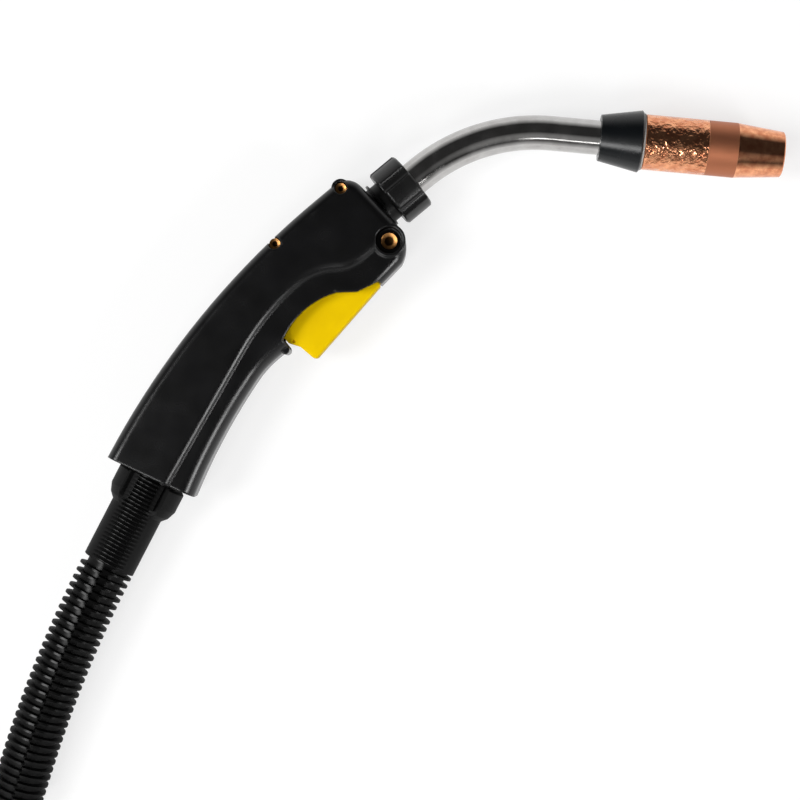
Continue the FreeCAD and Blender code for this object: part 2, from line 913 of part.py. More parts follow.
def lock_knob():
    body = turned(
        "lock_knob",
        HANDLE,
        [
            ("knob_rear", "knob_thread"),
            ("knob_rear", "knob_end_radius"),
            ("knob_rear_edge", "knob_radius"),
            ("knob_front_edge", "knob_radius"),
            ("knob_front", "knob_end_radius"),
            ("knob_front", "knob_bore"),
            ("knob_step", "knob_bore"),
            ("knob_step", "knob_thread"),
        ],
    )
    groove = new_sketch(body, "knob_groove", "YZ_Plane")
    draw_circle(groove, ("knob_groove_y", "knob_groove_z"), "knob_groove_radius")
    repeat_around(body, add_pocket(body, groove, "knob_cut"), "knob_lobes")
    return body


def neck_collar():
    body = turned(
        "neck_collar",
        HANDLE,
        [
            ("collar_rear", "collar_bore"),
            ("collar_rear", "collar_flange"),
            ("collar_flange_front", "collar_flange"),
            ("collar_flange_front", "collar_radius"),
            ("collar_thread_rear", "collar_radius"),
            ("collar_thread_rear", "collar_thread"),
            ("collar_front", "collar_thread"),
            ("collar_front", "collar_bore"),
        ],
    )
    slot = new_sketch(body, "collar_slot")
    draw_box(slot, ("collar_slot_rear", "-collar_slot_half"), ("collar_slot_front", "collar_slot_half"))
    repeat_around(body, add_pocket(body, slot, "collar_flange"), "collar_slots")
    return body


def neck_hub():
    return turned(
        "neck_hub",
        HANDLE,
        [
            ("hub_front", "hub_bore"),
            ("groove_front", "hub_bore"),
            ("groove_front", "groove_outer"),
            ("groove_rear", "groove_outer"),
            ("groove_rear", "hub_bore"),
            ("hub_stop", "hub_bore"),
            ("hub_stop", "hub_rear_bore"),
            ("hub_rear", "hub_rear_bore"),
            ("hub_rear", "hub_radius"),
            ("hub_front", "hub_radius"),
        ],
    )


def cable_fitting():
    return turned(
        "cable_fitting",
        HANDLE,
        [
            ("fitting_front", "fitting_socket"),
            ("fitting_socket_end", "fitting_socket"),
            ("fitting_socket_end", "fitting_bore"),
            ("fitting_rear", "fitting_bore"),
            ("fitting_rear", "fitting_crimp"),
            ("fitting_neck", "fitting_crimp"),
            ("fitting_neck", "fitting_radius"),
            ("fitting_front", "fitting_radius"),
        ],
    )


# Handle shells


def corner_ends(edge, height):
    """True if an edge lies in the outer face of a prism, at a height over the parting plane."""
    return all(abs(abs(vertex.Z) - height) < 1e-6 for vertex in edge.Vertexes)


def prism(label, side, height, start, steps):
    """Solid from the parting plane outwards."""
    body = new_body(label, HANDLE)
    sketch = new_sketch(body, label + "_outline")
    draw(sketch, start, steps)
    return body, add_pad(body, sketch, height, side)


def rod(label, side, height, centre, radius, start=None):
    """Round prism square to the parting plane, from it or from a height over it."""
    body = new_body(label, HANDLE)
    shift = None
    if start:
        shift = start if side > 0 else "-" + start
    sketch = new_sketch(body, label + "_outline", shift=shift)
    draw_circle(sketch, centre, radius)
    add_pad(body, sketch, height, side)
    return body


def panel(label, side):
    """Raised side of the handle, rounded all along its edge."""
    body, pad = prism(
        label,
        side,
        "panel_half",
        "panel_rear_back",
        [
            ("bow", "panel_back_front", "panel_back_middle"),
            ("line", "panel_hump_top"),
            ("smooth", "panel_hump_front"),
            ("line", "panel_front_low"),
            ("smooth", "panel_corner"),
            ("line", "panel_scoop_front"),
            ("smooth", "panel_scoop_turn"),
            ("smooth", "panel_scoop_rear"),
            ("smooth", "panel_ridge_front"),
            ("line", "panel_ridge_rear"),
            ("line", "panel_rear_back"),
        ],
    )
    height = size("panel_half")
    behind = size("panel_rear_back_x") + OVERRUN

    def wanted(edge):
        return corner_ends(edge, height) and any(vertex.X > behind for vertex in edge.Vertexes)

    round_edges(body, pad, "panel_rounding", wanted)
    return body


def belly(label, side):
    """Lower strip of the grip, with the trigger guard at its front."""
    body, pad = prism(
        label,
        side,
        "core_half",
        "belly_top_rear",
        [
            ("line", "belly_top_front"),
            ("line", "belly_front"),
            ("line", "belly_palm"),
            ("smooth", "belly_turn"),
            ("smooth", "belly_rear"),
            ("line", "belly_top_rear"),
        ],
    )
    height = size("core_half")
    below = size("belly_front_y") + OVERRUN

    def wanted(edge):
        return corner_ends(edge, height) and all(vertex.Y < below for vertex in edge.Vertexes)

    round_edges(body, pad, "belly_rounding", wanted)
    return body


def nose(label, side):
    """Rounded nose in front of the trigger."""
    body, pad = prism(
        label,
        side,
        "core_half",
        "nose_top_rear",
        [
            ("line", "nose_top_front"),
            ("line", "nose_brow"),
            ("smooth", "nose_tip"),
            ("smooth", "nose_chin"),
            ("line", "nose_under"),
            ("line", "nose_top_rear"),
        ],
    )
    height = size("core_half")
    below = size("nose_brow_y") + OVERRUN

    def wanted(edge):
        return corner_ends(edge, height) and all(vertex.Y < below for vertex in edge.Vertexes)

    round_edges(body, pad, "nose_rounding", wanted)
    return body


def cavity(label, side):
    return prism(
        label,
        side,
        "cavity_half",
        "cavity_rear_back",
        [
            ("bow", "cavity_back_front", "cavity_back_middle"),
            ("line", "cavity_shoulder"),
            ("line", "cavity_front_top"),
            ("line", "cavity_front_low"),
            ("line", "cavity_trigger_rear"),
            ("line", "cavity_palm"),
            ("line", "cavity_belly_middle"),
            ("line", "cavity_rear_belly"),
            ("line", "cavity_rear_back"),
        ],
    )[0]


def notch(label, side):
    """Opening under the handle that the trigger moves in."""
    return prism(
        label,
        side,
        "panel_half",
        "notch_low_rear",
        [
            ("line", "notch_rear"),
            ("bow", "notch_top_front", "notch_crest"),
            ("line", "notch_dip"),
            ("line", "notch_front"),
            ("line", "notch_lip"),
            ("line", "notch_low_front"),
            ("line", "notch_low_rear"),
        ],
    )[0]


def polygon_prism(label, side, height, corners):
    return prism(label, side, height, corners[0], [("line", c) for c in corners[1:] + corners[:1]])[0]


def web(label, side, rear, width):
    """Cross wall of the cavity that carries a piece on the neck axis."""
    box = doc.addObject("Part::Box", label)
    box.setExpression("Length", cell(width))
    box.setExpression("Width", "Dims.web_height * 2")
    box.setExpression("Height", cell("web_half"))
    low = 0 if side > 0 else -size("web_half")
    corner = Vector(size(rear), -size("web_height"), low)
    box.Placement = HANDLE * FreeCAD.Placement(corner, FreeCAD.Rotation())
    doc.recompute()
    return box


def round_cutters(label):
    """Seats and bores along the neck axis and the opening for the strain relief."""
    bores = [
        ("_front_bore", HANDLE, "flange_pocket_rear", "front_bore_length", "front_bore"),
        ("_flange_seat", HANDLE, "flange_pocket_rear", "flange_pocket_length", "flange_pocket"),
        ("_hub_seat", HANDLE, "hub_web_rear", "hub_web_width", "hub_seat"),
        ("_fitting_seat", HANDLE, "fitting_web_rear", "fitting_web_width", "fitting_seat"),
        ("_rear_opening", RELIEF, "rear_opening_start", "rear_opening_length", "rear_opening"),
    ]
    return [cylinder(label + ending, *place_and_size) for ending, *place_and_size in bores]


def trigger_cutters(label, side):
    corners = ["low_rear", "rear", "knee", "fore", "brow", "front", "low_front"]
    slot = ["slot_" + corner for corner in corners]
    low_x, low_y = aliases("pocket_low")
    high_x, high_y = aliases("pocket_high")
    pocket = [(low_x, low_y), (high_x, low_y), (high_x, high_y), (low_x, high_y)]
    return [
        notch(label + "_notch", side),
        polygon_prism(label + "_slot", side, "slot_half", slot),
        polygon_prism(label + "_switch_pocket", side, "switch_pocket_half", pocket),
        rod(label + "_pin_hole", side, "pin_hole_depth", "trigger_pivot", "pin_hole"),
    ]


def screw_cutters(label, side):
    """Screws enter the left shell through recesses and end in blind holes of the right one."""
    if side < 0:
        return [
            rod(label + "_front_hole", side, "screw_hole_depth", "front_screw", "screw_hole"),
            rod(label + "_back_hole", side, "screw_hole_depth", "back_screw", "screw_hole"),
            rod(label + "_nose_hole", side, "screw_hole_depth", "nose_screw", "nose_hole"),
        ]
    return [
        rod(label + "_front_hole", side, "front_screw_seat", "front_screw", "screw_hole"),
        rod(label + "_front_recess", side, "panel_half", "front_screw", "screw_recess", "front_screw_seat"),
        rod(label + "_back_hole", side, "back_screw_seat", "back_screw", "screw_hole"),
        rod(label + "_back_recess", side, "panel_half", "back_screw", "screw_recess", "back_screw_seat"),
        rod(label + "_nose_hole", side, "nose_screw_seat", "nose_screw", "nose_hole"),
        rod(label + "_nose_recess", side, "panel_half", "nose_screw", "nose_recess", "nose_screw_seat"),
    ]


def handle_shell(label, side):
    """Half of the moulded handle: left is above the parting plane (side 1), right is below it."""
    solids = [panel(label + "_panel", side), belly(label + "_belly", side), nose(label + "_nose", side)]
    solids.append(rod(label + "_guard_bead", side, "guard_bead_half", "guard_centre", "guard_bead"))
    solids.append(rod(label + "_front_boss", side, "screw_boss_half", "front_screw", "screw_boss"))
    if side > 0:
        solids.append(rod(label + "_nose_boss", side, "nose_boss_half", "nose_screw", "nose_boss"))
    hollow = carved(label + "_hollow", joined(label + "_outside", solids), cavity(label + "_cavity", side))
    webs = [
        web(label + "_hub_web", side, "hub_web_rear", "hub_web_width"),
        web(label + "_fitting_web", side, "fitting_web_rear", "fitting_web_width"),
    ]
    if side > 0:
        floor = ["nose_floor_length", "nose_screw", "nose_boss", "nose_floor_start"]
        webs.append(rod(label + "_nose_floor", side, *floor))
    ribbed = joined(label + "_ribbed", [hollow] + webs)
    rim = ["rim_back", "rim_belly", "rim_far_belly", "rim_far_back"]
    cutters = [polygon_prism(label + "_rim", side, "panel_half", rim)]
    cutters += round_cutters(label) + trigger_cutters(label, side) + screw_cutters(label, side)
    return carved(label, ribbed, joined(label + "_cutters", cutters))


def screw(label, point, seat, top, head, shank, socket, depth):
    """Cap screw that stands square to the parting plane."""
    body = turned(
        label,
        upright_frame(point),
        [
            ("screw_end", NOTHING),
            ("screw_end", shank),
            (seat, shank),
            (seat, head),
            (top, head),
            (top, NOTHING),
        ],
    )
    hexagon = new_sketch(body, label + "_socket", "YZ_Plane", top)
    draw_hexagon(hexagon, socket, socket + "_half", socket + "_side")
    add_pocket(body, hexagon, depth, side=-1)
    return body


# Trigger group


def trigger():
    body = new_body("trigger", HANDLE)
    outline = new_sketch(body, "trigger_outline")
    steps = [
        ("line", "trigger_ear_front"),
        ("bow", "trigger_ear_rear", "trigger_ear_top"),
        ("line", "trigger_top_front"),
        ("bow", "trigger_top_rear", "trigger_top_crest"),
        ("line", "trigger_rear_high"),
        ("line", "trigger_rear_waist"),
        ("line", "trigger_rear_low"),
        ("smooth", "trigger_toe"),
        ("line", "trigger_tip"),
    ]
    draw(outline, "trigger_tip", steps)
    pad = add_pad(body, outline, "trigger_half", symmetric=True)
    height = size("trigger_half")
    below = size("trigger_tip_y") + OVERRUN

    def wanted(edge):
        return corner_ends(edge, height) and all(vertex.Y < below for vertex in edge.Vertexes)

    round_edges(body, pad, "trigger_rounding", wanted)
    hollow = new_sketch(body, "trigger_hollow")
    draw_polygon(
        hollow,
        [
            "hollow_front_top",
            "hollow_front_low",
            "hollow_rear_low",
            "hollow_rear_waist",
            "hollow_rear_high",
            "hollow_rear_top",
        ],
    )
    add_pocket(body, hollow, "trigger_hollow_half", symmetric=True)
    post = new_sketch(body, "trigger_post")
    draw_box(post, "post_low", "post_high")
    add_pad(body, post, "trigger_post_half", symmetric=True)
    seat = new_sketch(body, "trigger_seat")
    draw_box(seat, "seat_low", "seat_high")
    add_pad(body, seat, "trigger_seat_half", symmetric=True)
    bore = new_sketch(body, "trigger_bore")
    draw_circle(bore, "trigger_pivot", "trigger_pin_bore")
    add_pocket(body, bore, "trigger_half", symmetric=True)
    mark = new_sketch(body, "trigger_mark", shift="trigger_half")
    draw_circle(mark, "trigger_mark", "trigger_mark_radius")
    add_pocket(body, mark, "trigger_mark_depth", side=-1)
    return body


def trigger_spring():
    """Wound square wire between the trigger's seat and the web over it."""
    wire = size("spring_wire_half")
    bottom = size("spring_bottom") + wire
    height = size("spring_top") - wire - bottom
    radius = size("spring_coil_radius")
    coil = Part.makeHelix(height / size("spring_turns"), height, radius)
    start = coil.Edges[0].valueAt(coil.Edges[0].FirstParameter)
    corners = [(-wire, -wire), (wire, -wire), (wire, wire), (-wire, wire), (-wire, -wire)]
    section = Part.makePolygon([start + Vector(across, 0, along) for across, along in corners])
    solid = Part.Wire(coil.Edges).makePipeShell([section], True, True)
    foot = Vector(size("spring_station"), bottom, 0)
    stand = FreeCAD.Placement(foot, FreeCAD.Rotation(Vector(1, 0, 0), -90))
    return plain_feature("trigger_spring", solid, HANDLE * stand)


def switch_body():
    body = new_body("switch_body", HANDLE)
    outline = new_sketch(body, "switch_outline")
    draw_box(outline, "switch_low", "switch_high")
    add_pad(body, outline, "switch_half", symmetric=True)
    guide = new_sketch(body, "switch_guide", "XZ_Plane", "-switch_low_y")
    draw_circle(guide, ("plunger_station", NOTHING), "plunger_bore")
    add_pocket(body, guide, "plunger_guide", side=-1)
    return body


def switch_plunger():
    bar = doc.addObject("Part::Cylinder", "switch_plunger")
    bar.Label = "switch_plunger"
    bar.setExpression("Radius", cell("plunger_radius"))
    bar.setExpression("Height", cell("plunger_length"))
    stand = FreeCAD.Rotation(Vector(1, 0, 0), -90)
    foot = Vector(size("plunger_station"), size("plunger_low"), 0)
    bar.Placement = HANDLE * FreeCAD.Placement(foot, stand)
    doc.recompute()
    return bar


# Strain relief and cable


def heading_and_dip(heading, dip):
    level = math.cos(math.radians(dip))
    turn = math.radians(heading)
    return Vector(level * math.cos(turn), level * math.sin(turn), -math.sin(math.radians(dip)))


def relief_directions():
    """Direction of the strain relief at the handle and at its free end."""
    first = RELIEF.Rotation.multVec(Vector(1, 0, 0))
    heading = math.degrees(math.atan2(first.y, first.x)) + size("relief_turn")
    return first, heading_and_dip(heading, size("relief_dip"))


def relief_radius():
    first, last = relief_directions()
    return (size("relief_bend_end") - size("relief_straight")) / first.getAngle(last)


def relief_station(station):
    """Point and direction of the strain relief's axis at a distance from the rim."""
    first, last = relief_directions()
    straight = size("relief_straight")
    bend_end = size("relief_bend_end")
    origin = RELIEF.Base
    if station <= straight:
        return origin + first * station, first
    radius = relief_radius()
    turn = (min(station, bend_end) - straight) / radius
    inward = (last - first * first.dot(last)).normalize()
    bend = origin + first * straight
    point = bend + first * (radius * math.sin(turn)) + inward * (radius * (1 - math.cos(turn)))
    direction = first * math.cos(turn) + inward * math.sin(turn)
    return point + direction * max(0.0, station - bend_end), direction


def section_circle(station, radius):
    """Circle square to the relief's axis whose x axis always lies level."""
    point, direction = relief_station(station)
    side = UP.cross(direction).normalize()
    rotation = FreeCAD.Rotation(side, direction.cross(side), direction, "ZXY")
    circle = Part.Circle(Vector(0, 0, 0), UP, radius).toShape()
    circle.Placement = FreeCAD.Placement(point, rotation)
    return Part.Wire([circle])


def relief_axis(start, end):
    """Path of the relief's axis between two stations on either side of its bend."""
    bend_start, first = relief_station(size("relief_straight"))
    bend_end, last = relief_station(size("relief_bend_end"))
    return [
        Part.LineSegment(relief_station(start)[0], bend_start).toShape(),
        tangent_arc(bend_start, first, bend_end).toShape(),
        Part.LineSegment(bend_end, relief_station(end)[0]).toShape(),
    ]


def swept_round(edges, radius):
    """Round bar along a path, checked against its section times its length."""
    path = Part.Wire(edges)
    start = path.OrderedVertexes[0].Point
    first = edges[0]
    direction = (first.Vertexes[-1].Point - first.Vertexes[0].Point).normalize()
    section = Part.Wire([Part.Circle(start, direction, radius).toShape()])
    solid = path.makePipeShell([section], True, False)
    check_volume("round bar", solid, math.pi * radius * radius * path.Length)
    return solid


def check_volume(name, solid, expected):
    if abs(solid.Volume / expected - 1) > 0.01:
        raise RuntimeError("%s: volume %.0f, expected %.0f" % (name, solid.Volume, expected))


def collar_windows():
    """Space over and under the sleeve's barrel that parts its collar into two side shoulders."""
    start = size("relief_collar_front")
    length = size("window_rear") - start
    half = size("window_half")
    reach = size("window_reach")
    box = Part.makeBox(length, 2 * half, 2 * reach, Vector(start, -half, -reach))
    barrel = Part.makeCylinder(size("relief_barrel"), length, Vector(start, 0, 0), Vector(1, 0, 0))
    return box.cut(barrel)


def relief_head():
    """Flange in the handle, neck through its rear wall, collar's shoulders and plain barrel."""
    bore = size("relief_bore")
    barrel_end = size("relief_straight")
    corners = [
        ("relief_flange_rear", "relief_flange"),
        ("relief_flange_front", "relief_flange"),
        ("relief_flange_front", "relief_neck"),
        ("relief_collar_front", "relief_neck"),
        ("relief_collar_front", "relief_collar_front_radius"),
        ("relief_collar_edge", "relief_collar"),
        ("relief_collar_rear", "relief_collar"),
        ("relief_collar_waist", "relief_waist_radius"),
        ("relief_collar_end", "relief_barrel"),
    ]
    outline = [Vector(size("relief_flange_rear"), bore, 0)]
    outline += [place(corner) for corner in corners]
    outline += [Vector(barrel_end, size("relief_barrel"), 0), Vector(barrel_end, bore, 0)]
    face = Part.Face(Part.makePolygon(outline + outline[:1]))
    head = face.revolve(Vector(0, 0, 0), Vector(1, 0, 0), 360).cut(collar_windows())
    head.Placement = RELIEF
    return head


def relief_fins():
    """Finned length of the sleeve: each fin is four circles of one ruled loft."""
    tip = size("fin_tip")
    root = size("fin_root")
    width = size("fin_width")
    slope = size("fin_slope")
    sections = [section_circle(size("relief_straight"), root)]
    for index in range(int(size("fin_count"))):
        station = size("fin_start") + index * size("fin_pitch")
        sections.append(section_circle(station, root))
        sections.append(section_circle(station + slope, tip))
        sections.append(section_circle(station + slope + width, tip))
        sections.append(section_circle(station + 2 * slope + width, root))
    sections.append(section_circle(size("relief_end"), root))
    return Part.makeLoft(sections, True, True)


def strain_relief():
    bore_axis = relief_axis(size("relief_straight") - OVERRUN, size("relief_end") + OVERRUN)
    shape = relief_head().fuse(relief_fins().cut(swept_round(bore_axis, size("relief_bore"))))
    return plain_feature("strain_relief", shape.removeSplitter())


def cable_inner():
    """Cable inside the handle and the strain relief."""
    radius = size("cable_bend_radius")
    turn = math.radians(size("rear_turn") - 180)
    drop = radius * (1 - math.cos(turn))
    rim = place("rim_centre")
    run = (-rim.y - drop) / math.sin(turn)
    bend_end = rim + Vector(math.cos(turn), math.sin(turn), 0) * run
    bend_start = Vector(bend_end.x + radius * math.sin(turn), 0, 0)
    start = HANDLE.multVec(Vector(size("cable_start"), 0, 0))
    first = HANDLE.multVec(bend_start)
    second = HANDLE.multVec(bend_end)
    backward = HANDLE.Rotation.multVec(Vector(-1, 0, 0))
    relief_bend = relief_station(size("relief_straight"))[0]
    edges = [
        Part.LineSegment(start, first).toShape(),
        tangent_arc(first, backward, second).toShape(),
        Part.LineSegment(second, relief_bend).toShape(),
    ]
    edges += relief_axis(0, size("relief_end"))[1:]
    return plain_feature("cable_inner", swept_round(edges, size("cable_radius")))


def lead_points():
    """Route of the cable from the strain relief down to the bench and to the coil."""
    start, direction = relief_station(size("relief_end"))
    run = size("lead_run")
    second = start + direction * run
    rest = size("cable_radius")
    middle = heading_and_dip(size("lead_heading_middle"), 0)
    third = second + middle * run
    third.z = rest
    fourth = third + heading_and_dip(size("lead_heading_end"), 0) * size("lead_last_run")
    return [start, second, third, fourth]


def rounded_route(points):
    """Straight runs joined by tangent arcs, each as large as its two runs allow."""
    edges = []
    here = points[0]
    for before, corner, after in zip(points, points[1:], points[2:]):
        arrive = (corner - before).normalize()
        leave = (after - corner).normalize()
        cut = ARC_SHARE * min((corner - before).Length, (after - corner).Length)
        arc_start = corner - arrive * cut
        arc_end = corner + leave * cut
        print("cable bend radius %.0f" % (cut / math.tan(arrive.getAngle(leave) / 2)))
        edges.append(Part.LineSegment(here, arc_start).toShape())
        edges.append(tangent_arc(arc_start, arrive, arc_end).toShape())
        here = arc_end
    edges.append(Part.LineSegment(here, points[-1]).toShape())
    return edges


def cable_lead():
    shape = swept_round(rounded_route(lead_points()), size("cable_radius"))
    return plain_feature("cable_lead", shape)


def coil_frame():
    """Frame of the coil: x from its middle to the point where the cable comes in."""
    end = lead_points()[-1]
    inward = heading_and_dip(size("lead_heading_end"), 0)
    start = end + inward * size("coil_tail")
    towards_middle = UP.cross(inward)
    return start + towards_middle * size("coil_outer_radius"), towards_middle * -1, inward


def half_turn(start, direction, end):
    """Two equal arcs from start to end that leave and arrive along opposite directions."""
    reach = (end - start).Length / 2
    middle = (start + end) / 2 + direction * reach
    first = tangent_arc(start, direction, middle).toShape()
    arrive = (middle - start).normalize()
    onward = arrive * (2 * direction.dot(arrive)) - direction
    return [first, tangent_arc(middle, onward, end).toShape()]


def coil_path():
    """The cable spirals in, climbs one layer in the tightest half turn and spirals out again. The last
    quarter turn is left out, so the end points along the bench, clear of the torch."""
    middle, outward, inward_direction = coil_frame()
    radius = size("coil_outer_radius")
    step = size("coil_step")
    turns = int(size("coil_half_turns"))
    reach = [radius - step * (index // 2) for index in range(turns + 1)]
    crossings = reach + reach[::-1]
    direction = inward_direction
    tail = size("coil_tail")
    points = []
    for index, distance in enumerate(crossings):
        side = 1 if index % 2 == 0 else -1
        layer = 0 if index <= turns else step
        points.append(middle + outward * (side * distance) + UP * layer)
    edges = [Part.LineSegment(points[0] - direction * tail, points[0]).toShape()]
    for start, end in zip(points, points[1:]):
        edges += half_turn(start, direction, end)
        direction = direction * -1
    edges.pop()
    direction = outward * -1
    turn_end = middle + inward_direction * radius + UP * step
    end = turn_end + direction * size("coil_exit")
    edges.append(Part.LineSegment(turn_end, end).toShape())
    return edges, end, direction


def polygon_section(centre, direction, apothem, sides):
    """Regular polygon square to a direction with a flat side down."""
    radius = apothem / math.cos(math.pi / sides)
    across = UP.cross(direction).normalize()
    corners = []
    for index in range(sides + 1):
        angle = 2 * math.pi * (index + 0.5) / sides
        corners.append(centre + across * (radius * math.sin(angle)) - UP * (radius * math.cos(angle)))
    return Part.makePolygon(corners)


def coil_gap(edges):
    """Least distance between turns of the cable, measured on points of its centreline."""
    points = []
    travelled = 0.0
    for edge in edges:
        count = max(1, int(edge.Length / GAP_SPACING))
        ordered = edge.discretize(count + 1)[:-1]
        points += [(travelled + edge.Length * index / count, p) for index, p in enumerate(ordered)]
        travelled += edge.Length
    least = None
    apart = 4 * math.pi * size("cable_radius")
    for index, (way, point) in enumerate(points):
        for other_way, other in points[index + 1 :]:
            if other_way - way > apart:
                distance = point.distanceToPoint(other)
                least = distance if least is None else min(least, distance)
    return least - 2 * size("cable_radius")


def cable_coil():
    edges, end, direction = coil_path()
    path = Part.Wire(edges)
    start = edges[0].valueAt(edges[0].FirstParameter)
    sides = int(size("coil_sides"))
    apothem = size("cable_radius")
    section = polygon_section(start, coil_frame()[2], apothem, sides)
    solid = path.makePipeShell([section], True, False)
    area = sides * apothem * apothem * math.tan(math.pi / sides)
    check_volume("coil", solid, area * path.Length)
    print("coil length %.0f, least gap %.2f" % (path.Length, coil_gap(edges)))
    heading = math.degrees(math.atan2(direction.y, direction.x))
    return plain_feature("cable_coil", solid), frame_at(end, heading)


# Central connector


def connector_relief():
    return turned(
        "connector_relief",
        CONNECTOR,
        [
            (NOTHING, NOTHING),
            (NOTHING, "cone_rear_radius"),
            ("cone_shoulder", "cone_shoulder_radius"),
            ("cone_end", "cone_end_radius"),
            ("cone_end", NOTHING),
        ],
    )


def connector_housing():
    body = turned(
        "connector_housing",
        CONNECTOR,
        [
            ("housing_rear", NOTHING),
            ("housing_rear", "housing_rear_radius"),
            ("housing_shoulder", "housing_radius"),
            ("housing_step", "housing_radius"),
            ("housing_step", "housing_spigot"),
            ("housing_front", "housing_spigot"),
            ("housing_front", NOTHING),
        ],
    )
    flute = new_sketch(body, "housing_flute", "YZ_Plane", "housing_flute_rear")
    draw_circle(flute, (NOTHING, "housing_flute_centre"), "housing_flute_radius")
    repeat_around(body, add_pocket(body, flute, "housing_flute_length"), "housing_flutes")
    return body


def coupling_nut():
    body = turned(
        "coupling_nut",
        CONNECTOR,
        [
            ("nut_rear", "nut_bore"),
            ("nut_rear", "nut_end_radius"),
            ("nut_rear_edge", "nut_radius"),
            ("nut_front_edge", "nut_radius"),
            ("nut_front", "nut_end_radius"),
            ("nut_front", "nut_bore"),
        ],
    )
    flute = new_sketch(body, "nut_flute", "YZ_Plane")
    draw_circle(flute, ("nut_flute_centre", NOTHING), "nut_flute_radius")
    repeat_around(body, add_pocket(body, flute, "nut_cut"), "nut_flutes")
    return body


def power_pin():
    return turned(
        "power_pin",
        CONNECTOR,
        [
            ("face_rear", NOTHING),
            ("face_rear", "power_pin_root"),
            ("power_pin_shoulder", "power_pin_root"),
            ("power_pin_shoulder", "power_pin_radius"),
            ("power_pin_edge", "power_pin_radius"),
            ("power_pin_end", "power_pin_edge_radius"),
            ("power_pin_end", "nipple_radius"),
            ("nipple_groove_rear", "nipple_radius"),
            ("nipple_groove_rear", "nipple_groove"),
            ("nipple_groove_front", "nipple_groove"),
            ("nipple_groove_front", "nipple_radius"),
            ("nipple_front", "nipple_radius"),
            ("nipple_front", "nipple_bore"),
            ("nipple_bore_end", "nipple_bore"),
            ("nipple_bore_end", NOTHING),
        ],
    )


def control_pin(label, sign):
    offset = Vector(0, 0, sign * size("control_spread"))
    placement = CONNECTOR * FreeCAD.Placement(offset, FreeCAD.Rotation())
    return cylinder(label, placement, "control_rear", "control_length", "control_radius")


write_sheet()
HANDLE = handle_frame()
NOZZLE = nozzle_frame()
RELIEF = relief_frame()

nodes = [
    bent_tube("neck_tube", "tube_rear", "tube_end", "tube_radius", "tube_bore"),
    bent_tube("neck_insulation", "tube_rear", "tube_end", "insulation_radius", "insulation_bore"),
    bent_tube("conductor_tube", "conductor_rear", "conductor_end", "conductor_radius", "conductor_bore"),
    bent_tube("wire_liner", "liner_rear", "liner_end", "liner_radius", "liner_bore"),
    boot(),
    tube_ring("boot_ring", NOZZLE, "ring_rear", "ring_front", "ring_radius", "ring_bore"),
    tube_ring("nozzle_insulator", NOZZLE, "sleeve_rear", "sleeve_front", "sleeve_radius", "sleeve_bore"),
    gas_diffuser(),
    contact_tip(),
    nozzle(),
    lock_knob(),
    neck_collar(),
    tube_ring("collar_washer", HANDLE, "washer_rear", "washer_front", "washer_radius", "washer_bore"),
    neck_hub(),
    ring_seal("hub_seal", HANDLE, "seal"),
    cable_fitting(),
    tube_ring("crimp_ferrule", HANDLE, "ferrule_rear", "ferrule_front", "ferrule_radius", "ferrule_bore"),
    handle_shell("handle_left", 1),
    handle_shell("handle_right", -1),
    screw(
        "handle_screw_front",
        "front_screw",
        "front_screw_seat",
        "front_screw_top",
        "screw_head",
        "screw_shank",
        "screw_socket",
        "screw_socket_depth",
    ),
    screw(
        "handle_screw_back",
        "back_screw",
        "back_screw_seat",
        "back_screw_top",
        "screw_head",
        "screw_shank",
        "screw_socket",
        "screw_socket_depth",
    ),
    screw(
        "nose_screw_brass",
        "nose_screw",
        "nose_screw_seat",
        "nose_screw_top",
        "nose_head",
        "nose_shank",
        "nose_socket",
        "nose_socket_depth",
    ),
    trigger(),
    trigger_spring(),
    switch_body(),
    switch_plunger(),
    strain_relief(),
    cable_inner(),
    cable_lead(),
]
coil, CONNECTOR = cable_coil()
nodes += [
    coil,
    connector_relief(),
    connector_housing(),
    coupling_nut(),
    tube_ring("connector_face", CONNECTOR, "face_rear", "face_front", "face_radius", "face_bore"),
    power_pin(),
    control_pin("control_pin_low", -1),
    control_pin("control_pin_high", 1),
    ring_seal("nipple_seal", CONNECTOR, "nipple_seal"),
]
pin_frame = HANDLE * FreeCAD.Placement(place("trigger_pivot"), FreeCAD.Rotation(Vector(0, 1, 0), -90))
nodes.append(
    turned(
        "trigger_pin",
        pin_frame,
        [
            ("-pin_half", NOTHING),
            ("-pin_half", "pin_radius"),
            ("pin_half", "pin_radius"),
            ("pin_half", NOTHING),
        ],
    )
)

doc.recompute()
for item in doc.Objects:
    if "Invalid" in item.State or "Error" in item.State:
        raise RuntimeError("%s failed: %s" % (item.Name, item.State))
for node in nodes:
    if node.Shape.isNull() or not node.Shape.isValid() or node.Shape.Volume <= 0:
        raise RuntimeError("%s has no sound solid" % node.Label)
    if len(node.Shape.Solids) != 1:
        raise RuntimeError("%s is %d solids" % (node.Label, len(node.Shape.Solids)))

os.makedirs("parts", exist_ok=True)
for node in nodes:
    node.Shape.exportStep("parts/%s.step" % node.Label)
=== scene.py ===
import math

